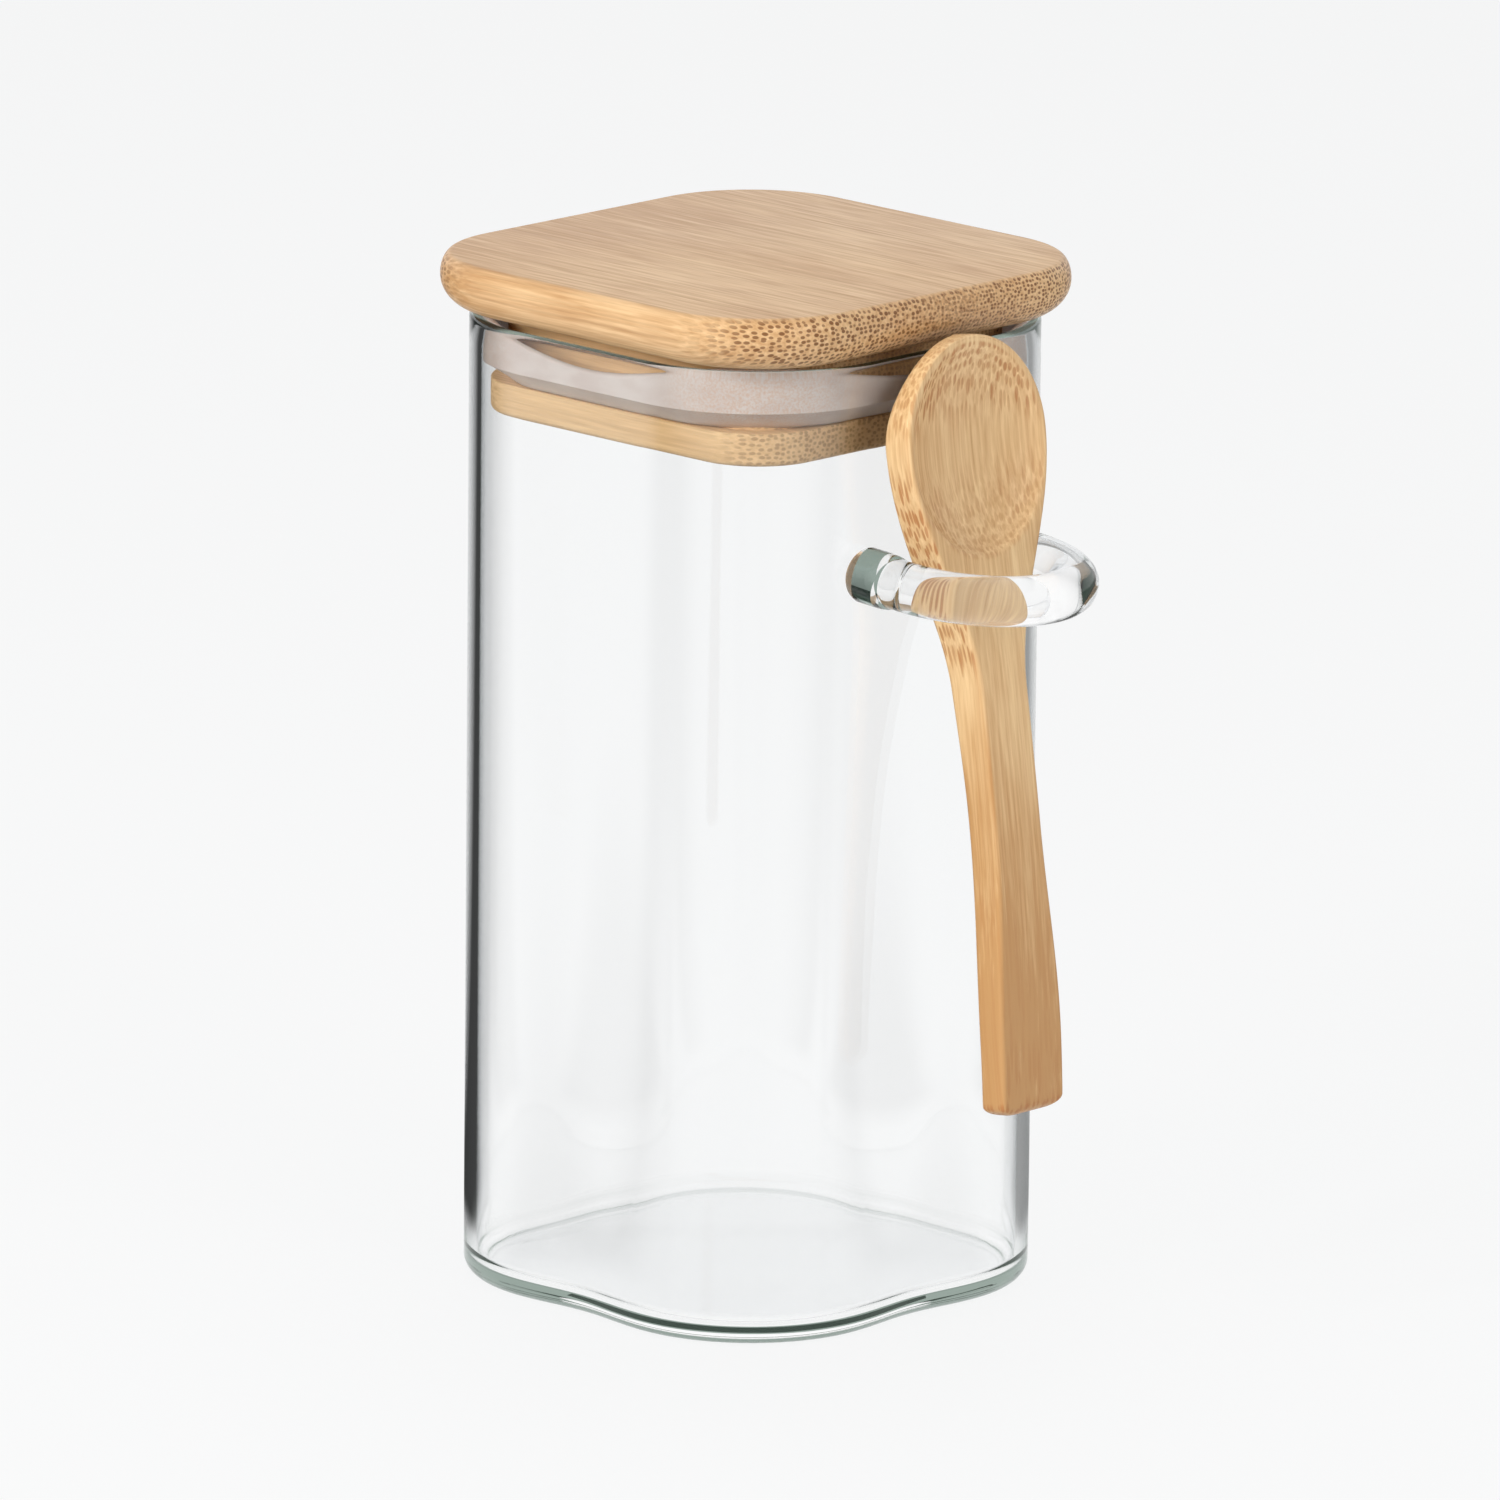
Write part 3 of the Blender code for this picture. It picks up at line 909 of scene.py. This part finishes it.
@dataclass
class JarGlass:
    """The blown jar and the rod loop that is fused to its front wall."""

    half_side: float = 42.5 * MM
    height: float = 169.5 * MM
    corner_radius: float = 27.5 * MM
    wall: float = 2.1 * MM
    base: float = 2.6 * MM
    heel: float = 3 * MM
    dip: float = 1.15 * MM
    rod_radius: float = 4.3 * MM
    half_spacing: float = 15.75 * MM
    leg_length: float = 8.7 * MM
    nose_length: float = 19 * MM
    loop_height: float = 133.1 * MM
    droop: float = 1.6 * MM
    foot_radius: float = 4.8 * MM
    foot_thickness: float = 1.6 * MM
    embedded: float = 1.3 * MM
    corner_steps: int = 28
    side_steps: int = 36
    path_steps: int = 220
    rod_sides: int = 56
    finish: GlassFinish = field(default_factory=GlassFinish)

    def section(self) -> list[EdgePoint]:
        """The wall's section: heel, outside, rim, inside and floor's edge.

        Returns:
            Its points, drawn in more and more towards the base.
        """
        rim, heel, inner = self.wall / 2, self.heel, self.wall + self.heel
        shoulder, foot = self.height - rim, self.base + self.heel
        points = arc(heel, heel, heel, heel, steps(12, -QUARTER, 0))
        points += [EdgePoint(0, level) for level in steps(46, heel, shoulder)[1:-1]]
        points += arc(rim, shoulder, rim, rim, steps(20, 0, math.pi))
        points += [EdgePoint(self.wall, level) for level in steps(46, shoulder, foot)[1:-1]]
        points += arc(inner, foot, heel, heel, steps(12, 0, -QUARTER))
        return [
            replace(point, drawn_in=self.dip * (1 - point.height / self.height) ** 2)
            for point in points
        ]

    def build(self, edge: Recipe, rod: Recipe) -> bpy.types.Object:
        """Builds the glass as one body, since the loop's feet are fused to the wall.

        Args:
            edge: The tree for rounded-square bodies.
            rod: The tree for the bent rod.

        Returns:
            The piece.
        """
        glass = self.finish.make()
        sizes = {"Half Side": self.half_side, "Corner Radius": self.corner_radius}
        sizes |= {"Corner Steps": self.corner_steps, "Side Steps": self.side_steps}
        section = profile_mesh("jar_section", self.section())
        shell = edge.bake("jar_glass", section, {**sizes, "Material": glass})
        sizes = {name: getattr(self, name.lower().replace(" ", "_")) for name in LOOP_SIZES}
        sizes |= {"Path Steps": self.path_steps, "Rod Sides": self.rod_sides}
        start = bpy.data.meshes.new("loop_start")
        loop = rod.bake("loop_rod", start, {**sizes, "Material": glass})
        for part in (shell, loop):
            close_and_face_out(part, CRISP_ABOVE)
        self._fuse(shell, loop)
        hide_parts("glass_body", "spoon_loop")
        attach(shell, "jar")
        return shell

    @staticmethod
    def _fuse(shell: bpy.types.Object, loop: bpy.types.Object) -> None:
        """Joins the loop to the jar's wall.

        Args:
            shell: The jar, whose mesh takes in the loop.
            loop: The rod, which is removed.
        """
        joint = shell.modifiers.new("Fused feet", "BOOLEAN")
        joint.operation = "UNION"
        joint.solver = "EXACT"
        joint.object = loop
        bpy.context.view_layer.update()
        graph = bpy.context.evaluated_depsgraph_get()
        fused = bpy.data.meshes.new_from_object(shell.evaluated_get(graph), depsgraph=graph)
        shell.modifiers.remove(joint)
        plain, shell.data = shell.data, fused
        fused.name = "jar_glass"
        bpy.data.meshes.remove(plain)
        bpy.data.objects.remove(loop)
        fused.set_sharp_from_angle(angle=math.radians(CRISP_FEET_ABOVE))


@dataclass
class Lid:
    """The bamboo board with its plug and the silicone seal round the plug's neck."""

    edge: Recipe
    half_side: float = 44.5 * MM
    corner_radius: float = 22.3 * MM
    underside: float = 170 * MM
    lower_height: float = 5.7 * MM
    upper_height: float = 3.8 * MM
    top_round: float = 2.1 * MM
    under_round: float = 6.5 * MM
    neck_height: float = 11.7 * MM
    flange_thickness: float = 5.8 * MM
    flange_half: float = 35.5 * MM
    flange_edge: float = 1.2 * MM
    arris: float = 0.25 * MM
    glass_half: float = 40.4 * MM
    glass_radius: float = 25.4 * MM
    corner_clearance: float = 1.6 * MM
    neck_inset: float = 3 * MM
    seal_half: float = 40.1 * MM
    seal_radius: float = 25.1 * MM
    seal_taper: float = 3.4 * MM
    seal_lip: float = 0.8 * MM
    seal_root: float = 3 * MM
    seal_sag: float = 4.3 * MM
    gap: float = 0.3 * MM
    corner_steps: int = 24
    side_steps: int = 28
    board_finish: BambooFinish = BambooFinish(
        name="lid_oiled_bamboo",
        grain=Grain.FRONT_TO_BACK,
        pale=(0.82, 0.54, 0.28),
        deep=(0.58, 0.32, 0.135),
        bundle=(0.20, 0.075, 0.018),
        # Painted shade: the board darkens towards its back (+Y), where less light falls.
        painted_shade_along=(-0.04, 0.0, 40.0, 0.34),
        seed=3.7,
    )
    plug_finish: BambooFinish = BambooFinish(
        name="plug_pale_bamboo",
        grain=Grain.FRONT_TO_BACK,
        pale=(0.90, 0.61, 0.32),
        deep=(0.72, 0.46, 0.22),
        bundle=(0.34, 0.15, 0.055),
        end_contrast=0.6,
        roughness=0.5,
        coat=0.0,
        seed=11.3,
    )
    seal_finish: SiliconeFinish = field(default_factory=SiliconeFinish)

    @property
    def flange_radius(self) -> float:
        """The flange's corner radius.

        Returns:
            The radius with which the corners clear the glass by corner_clearance.
        """
        reach = (self.glass_half - self.glass_radius) * math.sqrt(2) + self.glass_radius
        reach -= self.corner_clearance
        return (self.flange_half * math.sqrt(2) - reach) / (math.sqrt(2) - 1)

    @property
    def flange_top(self) -> float:
        """The height of the flange's upper face."""
        return self.underside - self.neck_height

    def board(self) -> bpy.types.Object:
        """The board, with a long round below and a short one above.

        Returns:
            The piece.
        """
        middle, under, top = self.underside + self.lower_height, self.under_round, self.top_round
        section = arc(under, middle, under, self.lower_height, steps(18, -QUARTER, 0))
        section += arc(top, middle, top, self.upper_height, steps(14)[1:])
        size, finish = (self.half_side, self.corner_radius), self.board_finish.make()
        return self._piece("lid_bamboo_board", "lid_board", section, size, finish)

    def plug(self) -> bpy.types.Object:
        """The plug, a flange with a neck above it.

        Returns:
            The piece.
        """
        bottom, lower, upper = self.flange_top - self.flange_thickness, self.flange_edge, self.arris
        section = arc(lower, bottom + lower, lower, lower, steps(8, -QUARTER, 0))
        section += arc(upper, self.flange_top - upper, upper, upper, steps(4))
        section += [
            EdgePoint(self.neck_inset, height)
            for height in (self.flange_top, self.underside - self.gap)
        ]
        size, finish = (self.flange_half, self.flange_radius), self.plug_finish.make()
        return self._piece("lid_bamboo_plug", "lid_plug", section, size, finish)

    def seal(self) -> bpy.types.Object:
        """The seal, a ring that widens from the flange to the glass, with a groove inside.

        Returns:
            The piece.
        """
        bottom, top, lip = self.flange_top + self.gap, self.underside - self.gap, self.seal_lip
        widest = bottom + self.seal_taper
        foot = self.seal_half - self.flange_half
        neck = foot + self.neck_inset - self.gap
        section = [EdgePoint(neck, bottom)]
        section += [
            EdgePoint(foot * (1 - share), bottom + self.seal_taper * share)
            for share in steps(6, 0, 1)
        ]
        section += [
            EdgePoint(0, level, sag=self.seal_sag * eased(level, widest, top))
            for level in steps(10, widest, top - lip)[1:-1]
        ]
        section += arc(lip, top - lip, lip, lip, steps(8), self.seal_sag)
        section += [
            EdgePoint(
                lip + (neck - lip) * share**2,
                top - (top - bottom - self.seal_root) * share,
                sag=self.seal_sag * (1 - share),
            )
            for share in steps(8, 0, 1)[1:]
        ]
        section.append(section[0])
        size, finish = (self.seal_half, self.seal_radius), self.seal_finish.make()
        return self._piece("lid_silicone_seal", "lid_seal", section, size, finish)

    def _piece(
        self,
        name: str,
        node: str,
        section: Sequence[EdgePoint],
        size: tuple[float, float],
        surface: bpy.types.Material,
    ) -> bpy.types.Object:
        """Carries a section round a rounded square and puts the piece on the lid.

        Args:
            name: The piece's name.
            node: The CAD node that it stands for.
            section: Its edge profile.
            size: Half its side and its corner radius.
            surface: Its material.

        Returns:
            The piece.
        """
        sizes = {"Half Side": size[0], "Corner Radius": size[1], "Material": surface}
        sizes |= {"Corner Steps": self.corner_steps, "Side Steps": self.side_steps}
        piece = self.edge.bake(name, profile_mesh(name + "_section", section), sizes)
        close_and_face_out(piece, CRISP_LID_ABOVE)
        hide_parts(node)
        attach(piece, "lid")
        return piece

    def build(self) -> list[bpy.types.Object]:
        """Builds the lid's three pieces."""
        return [self.board(), self.plug(), self.seal()]


@dataclass
class Spoon:
    """The one-piece bamboo spoon that hangs in the loop by the shoulders of its bowl."""

    length: float = 132.9 * MM
    tip_length: float = 17.7 * MM
    bowl_end: float = 42 * MM
    bowl_width: float = 33.6 * MM
    shoulder_length: float = 42.6 * MM
    neck_width: float = 11.5 * MM
    neck_length: float = 23 * MM
    flare_length: float = 38 * MM
    end_width: float = 15 * MM
    tip_thickness: float = 3.6 * MM
    bowl_thickness: float = 6.4 * MM
    neck_thickness: float = 8.2 * MM
    neck_thickest: float = 48.3 * MM
    handle_thickness: float = 6.9 * MM
    end_thickness: float = 5.8 * MM
    front_radius: float = 0.9 * MM
    back_radius: float = 1.5 * MM
    end_radius: float = 1.8 * MM
    end_corner: float = 2.2 * MM
    bend: float = 2 * MM
    hollow_tip_rim: float = 1.4 * MM
    hollow_side_rim: float = 1.1 * MM
    hollow_length: float = 35.4 * MM
    hollow_depth: float = 4.2 * MM
    steepness: float = 0.35
    lip: float = 0.35 * MM
    lean: float = math.radians(7.65)
    across_steps: int = 110
    back_steps: int = 28
    finish: BambooFinish = BambooFinish(
        name="spoon_oiled_bamboo",
        grain=Grain.DOWN_THE_SPOON,
        pale=(0.96, 0.68, 0.36),
        deep=(0.60, 0.32, 0.12),
        bundle=(0.47, 0.17, 0.042),
        bundle_spacing=(1.1 * MM, 0.85 * MM),
        fine_spacing=(0.95 * MM, 0.75 * MM),
        along_contrast=0.18,
        end_contrast=0.85,
        streak_width=0.7,
        streak_strength=1.3,
        roughness=0.4,
        # Painted shade: the wood darkens towards the handle's lower end, where less light falls,
        # and is paler at the bowl.
        painted_shade_along=(0.55, 45.0, 130.0, -0.2),
        ends_show=(0.03, 0.2),
        worn=0.55,
        seed=6.1,
    )

    def half_width(self, along: float) -> float:
        """How far the spoon reaches to either side.

        Args:
            along: The distance from the tip.

        Returns:
            Half the width there.
        """
        neck_start = self.tip_length + self.shoulder_length
        neck_end = neck_start + self.neck_length
        width = self.bowl_width
        width += (self.neck_width - self.bowl_width) * eased(along, self.tip_length, neck_start)
        flare = eased(along, neck_end, neck_end + self.flare_length)
        width += (self.end_width - self.neck_width) * flare
        to_widest = max(1 - along / self.tip_length, 0)
        to_end = max(1 - (self.length - along) / self.end_corner, 0)
        rounded_off = self.end_corner * (1 - math.sqrt(max(1 - to_end**2, 0)))
        return width / 2 * math.sqrt(1 - to_widest**2) - rounded_off

    def thickness(self, along: float) -> float:
        """How thick the spoon is, from its front face to its back.

        Args:
            along: The distance from the tip.

        Returns:
            The thickness there.
        """
        neck_end = self.tip_length + self.shoulder_length + self.neck_length
        thickness = self.tip_thickness
        for start, end, before, after in (
            (0, self.tip_length, self.tip_thickness, self.bowl_thickness),
            (self.tip_length, self.neck_thickest, self.bowl_thickness, self.neck_thickness),
            (self.neck_thickest, neck_end, self.neck_thickness, self.handle_thickness),
            (neck_end, self.length, self.handle_thickness, self.end_thickness),
        ):
            thickness += (after - before) * eased(along, start, end)
        return thickness

    def front(self, along: float) -> float:
        """How far the front face stands out from the straight line from tip to end."""
        share = along / self.length
        return self.bend * share**2 * (1 - share) * 27 / 4

    def hollow(self, x: float, along: float) -> float:
        """How deep the hollow is, measured from the front face.

        Args:
            x: The place across the bowl.
            along: The distance from the tip.

        Returns:
            The depth, 0 outside the hollow.
        """
        mouth_half = self.bowl_width / 2 - self.hollow_side_rim
        middle = self.hollow_tip_rim + self.hollow_length / 2
        out = math.hypot(x / mouth_half, (along - middle) / (self.hollow_length / 2))
        scale = self.hollow_depth / (1 - self.steepness)
        inner = 1 - (out * math.sqrt(1 - self.steepness**2)) ** 2
        level = self.front(along) - self.front(middle)
        depth = scale * (math.sqrt(max(inner, 0)) - self.steepness) + level
        return (depth + math.hypot(depth, self.lip)) / 2 if depth > -4 * self.lip else 0.0

    def section(self, along: float, inset: float) -> list[Vector]:
        """A rounded oblong across the spoon.

        Args:
            along: The distance from the tip.
            inset: How far it is drawn in.

        Returns:
            Its points, the front face from +X to -X first.
        """
        half = self.half_width(along) - inset
        front = -self.front(along) + inset
        back = front + self.thickness(along) - 2 * inset
        largest = 0.45 * min(2 * half, back - front)
        front_radius = min(self.front_radius, largest)
        back_radius = min(self.back_radius, largest)
        corners = (
            (1, back - back_radius, back_radius),
            (-1, back - back_radius, back_radius),
            (-1, front + front_radius, front_radius),
            (1, front + front_radius, front_radius),
        )
        flats = {0: (back, self.back_steps), 2: (front, self.across_steps)}
        points: list[Vector] = []
        for quarter, (side, y, radius) in enumerate(corners):
            x = side * (half - radius)
            points += [
                Vector((x + radius * math.cos(turn), y + radius * math.sin(turn), -along))
                for turn in steps(7, quarter * QUARTER, (quarter + 1) * QUARTER)
            ]
            if quarter in flats:
                level, count = flats[quarter]
                shares = steps(count, 0, 1)[1:-1]
                points += [Vector((x * (1 - 2 * share), level, -along)) for share in shares]
        for point in points:
            if point.y < front + front_radius * 0.3:
                point.y += self.hollow(point.x, along)
        return points

    def sections(self) -> list[list[Vector]]:
        """The sections from the tip to the handle's end, closer together at the tip and bowl.

        Returns:
            The points of each section.
        """
        rings = [
            self.section(self.tip_length * (1 - math.cos(angle)), 0) for angle in steps(44)[1:]
        ]
        last = self.length - self.end_radius
        for count, start, end in ((80, self.tip_length, self.bowl_end), (90, self.bowl_end, last)):
            rings += [self.section(along, 0) for along in steps(count, start, end)[1:]]
        rings += [
            self.section(
                self.length - self.end_radius * (1 - math.sin(angle)),
                self.end_radius * (1 - math.cos(angle)),
            )
            for angle in steps(8)[1:]
        ]
        return rings

    def build(self) -> bpy.types.Object:
        """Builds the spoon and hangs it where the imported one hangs.

        Returns:
            The piece.
        """
        shell = skin(self.sections(), closed=True)
        bmesh.ops.recalc_face_normals(shell, faces=shell.faces)
        for face in shell.faces:
            face.smooth = True
        shell.transform(Matrix.Rotation(-self.lean, 4, "X"))
        low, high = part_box("spoon")
        top = max(vertex.co.z for vertex in shell.verts)
        rear = max(vertex.co.y for vertex in shell.verts)
        shell.transform(Matrix.Translation((0, high.y - rear, high.z - top)))
        mesh = bpy.data.meshes.new("measuring_spoon")
        shell.to_mesh(mesh)
        shell.free()
        mesh.set_sharp_from_angle(angle=math.radians(CRISP_SPOON_ABOVE))
        mesh.materials.append(self.finish.make())
        piece = place_in_scene("measuring_spoon", mesh)
        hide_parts("spoon")
        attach(piece, "spoon")
        return piece


# Studio


@dataclass(frozen=True)
class Softbox:
    """A soft lamp that is aimed at the jar."""

    name: str
    place: Point
    size: float
    power: float


@dataclass
class Studio:
    """A pale floor, an even sky, soft lamps and the camera."""

    azimuth: float = math.radians(-45.62)
    elevation: float = math.radians(14.155)
    roll: float = math.radians(0.59)
    distance: float = 2.7374
    aim: Point = (0.0, 0.0, 0.085)
    lens: float = 383.218
    shift: tuple[float, float] = (-0.00033, 0.02789)
    sky_level: float = 0.3
    floor_colour: Colour = (0.905, 0.915, 0.93)
    floor_own_light: float = 0.8
    floor_drop: float = 0.15 * MM
    floor_rim: tuple[tuple[float, float], ...] = (
        (6.0, -0.05), (5.97, -0.01), (5.9, 0.0), (1.5, 0.0), (0.4, 0.0),
    )
    floor_shown: Colour = (0.997, 1.0, 1.0)

    @property
    def to_camera(self) -> Vector:
        """The direction from the jar to the camera.

        Returns:
            A vector of length 1.
        """
        across = math.cos(self.elevation)
        return Vector(
            (
                math.sin(self.azimuth) * across,
                -math.cos(self.azimuth) * across,
                math.sin(self.elevation),
            )
        )

    @property
    def right(self) -> Vector:
        """The direction to the right in the picture."""
        return Vector((math.cos(self.azimuth), math.sin(self.azimuth), 0))

    def camera(self) -> bpy.types.Object:
        """Places the camera.

        Returns:
            The camera.
        """
        back, right = self.to_camera, self.right
        up = back.cross(right)
        turned_right = right * math.cos(self.roll) + up * math.sin(self.roll)
        turned_up = up * math.cos(self.roll) - right * math.sin(self.roll)
        data = bpy.data.cameras.new("camera")
        data.sensor_fit = "HORIZONTAL"
        data.sensor_width = 36
        data.lens = self.lens
        data.shift_x, data.shift_y = self.shift
        data.clip_start, data.clip_end = 0.05, 50
        camera = place_in_scene("camera", data)
        turn = Matrix((turned_right, turned_up, back)).transposed().to_4x4()
        camera.matrix_world = Matrix.Translation(Vector(self.aim) + back * self.distance) @ turn
        bpy.context.scene.camera = camera
        return camera

    @staticmethod
    def _seen(path: Made) -> Value:
        """Whether the camera sees it, directly, in a reflection or through the glass.

        Args:
            path: The Light Path node.

        Returns:
            1 if it does, else 0.
        """
        kinds = ("Camera", "Glossy", "Transmission")
        camera, glossy, through = (path.value(f"Is {kind} Ray") for kind in kinds)
        return (camera + glossy + through).least(1)

    def _surroundings(self, nodes: Nodes, direction: Any, far: Any = 1.0) -> Value:
        """How dark what stands round the jar is, in the glass's reflections.

        Args:
            nodes: The nodes of the floor or the world.
            direction: The direction from the jar.
            far: 1 at a distance from the jar, 0 close to it.

        Returns:
            0 where light is seen straight through the glass, up to 1 in reflections of the sides.
        """
        path = nodes.add("ShaderNodeLightPath")
        reflected = path.value("Glossy Depth").least(1)
        x, y, z = nodes.parts(direction)
        view = -self.to_camera
        flat = math.hypot(view.x, view.y)
        length = (x * x + y * y + 0.000001).root()
        cosine = (x * (view.x / flat) + y * (view.y / flat)) / length
        sine = (x * self.right.x + y * self.right.y) / length
        forward = cosine.rise(0.80, 0.96)
        sideways = (1 - abs(cosine)).rise(0.62, 0.95) * 0.9 + sine.rise(0.1, 0.6) * 0.3
        behind = cosine.rise(-0.3, -0.9)
        level = 0.05 + forward * 0.95 + sideways + behind * 0.85 + z.rise(0.0, 0.12)
        return reflected * (1 - level.clamped()) * far

    def floor(self) -> bpy.types.Object:
        """Makes the floor.

        Returns:
            The floor, a wide disc with a rounded rim.
        """
        rings = [
            [
                Vector((radius * math.cos(turn), radius * math.sin(turn), height - self.floor_drop))
                for turn in steps(96, 0, 2 * math.pi)[:-1]
            ]
            for radius, height in self.floor_rim
        ]
        shell = skin(rings, closed=False)
        mesh = bpy.data.meshes.new("floor")
        shell.to_mesh(mesh)
        shell.free()
        floor = place_in_scene("floor", mesh)
        mesh.materials.append(self._floor_finish())
        return floor

    def _floor_finish(self) -> bpy.types.Material:
        """A matt pale floor that keeps its shadows and shows its own tone to camera and glass.

        Returns:
            The material.
        """
        material, nodes, shader = new_material("floor_pale_matt")
        place = nodes.add("ShaderNodeNewGeometry").out("Position")
        x, y, _ = nodes.parts(place)
        far = (x * x + y * y).root().rise(0.052, 0.075)
        fine = nodes.noise(nodes.vector(x * 300, y * 300, 0.0), 2.0)
        colour = nodes.mix((fine - 0.5) * 0.1 + 0.05, self.floor_colour, (0.85, 0.86, 0.88))
        looks = {"Base Color": colour, "Roughness": 0.9, "Specular IOR Level": 0.1}
        nodes.fill(shader, looks)
        dark = self._surroundings(nodes, place, far)
        light = {"Color": self.floor_shown, "Strength": 1 - dark}
        own = nodes.add("ShaderNodeEmission", None, light).out()
        share = self.floor_own_light + (1 - self.floor_own_light) * dark
        seen = self._seen(nodes.add("ShaderNodeLightPath"))
        blend = {0: seen * share, 1: shader.outputs[0], 2: own}
        surface_is(nodes, nodes.add("ShaderNodeMixShader", None, blend).out())
        return material

    def world(self) -> bpy.types.World:
        """Makes the even sky.

        Returns:
            The world.
        """
        world = bpy.data.worlds.new("studio_sky")
        world.use_nodes = True
        bpy.context.scene.world = world
        nodes = Nodes(world.node_tree)
        path = nodes.add("ShaderNodeLightPath")
        direction = nodes.add("ShaderNodeTexCoord").out("Generated")
        shown = 1 - self._surroundings(nodes, direction)
        direct = self._seen(path) * (1 - path.value("Diffuse Depth").least(1))
        strength = direct * shown + (1 - direct) * self.sky_level
        sky = world.node_tree.nodes["Background"]
        nodes.fill(sky, {"Color": (1, 1, 1), "Strength": strength})
        return world

    def lamps(self) -> None:
        """Places the soft lamps."""
        left, toward = -self.right, Vector((self.to_camera.x, self.to_camera.y, 0)).normalized()
        up = Vector((0, 0, 1))
        key = left * 2 + toward * 1.8 + up * 1.35
        fill = toward * 2 - left * 2 + up * 1.4
        top = up * 3 - toward
        boxes = (
            Softbox("key_softbox", tuple(key), size=1.3, power=66),
            Softbox("fill_softbox", tuple(fill), size=1.6, power=30),
            Softbox("top_softbox", tuple(top), size=1.8, power=9),
        )
        for box in boxes:
            data = bpy.data.lights.new(box.name, "AREA")
            data.shape = "SQUARE"
            data.size = box.size
            data.energy = box.power
            lamp = place_in_scene(box.name, data)
            lamp.location = box.place
            lamp.visible_glossy = lamp.visible_transmission = False
            aim = Vector(self.aim) - lamp.location
            lamp.rotation_euler = aim.to_track_quat("-Z", "Y").to_euler()

    def build(self) -> None:
        """Builds the studio."""
        bpy.context.scene.view_settings.view_transform = "Standard"
        self.camera()
        self.floor()
        self.world()
        self.lamps()


def main() -> None:
    """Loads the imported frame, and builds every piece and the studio."""
    logging.basicConfig(level=logging.INFO, format="%(message)s")
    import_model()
    edge, rod = outline_recipe(), bent_rod_recipe()
    pieces = [JarGlass().build(edge, rod), *Lid(edge).build(), Spoon().build()]
    for piece in pieces:
        LOG.info("%s: %d faces", piece.name, len(piece.data.polygons))
    Studio().build()


if __name__ == "__main__":
    main()
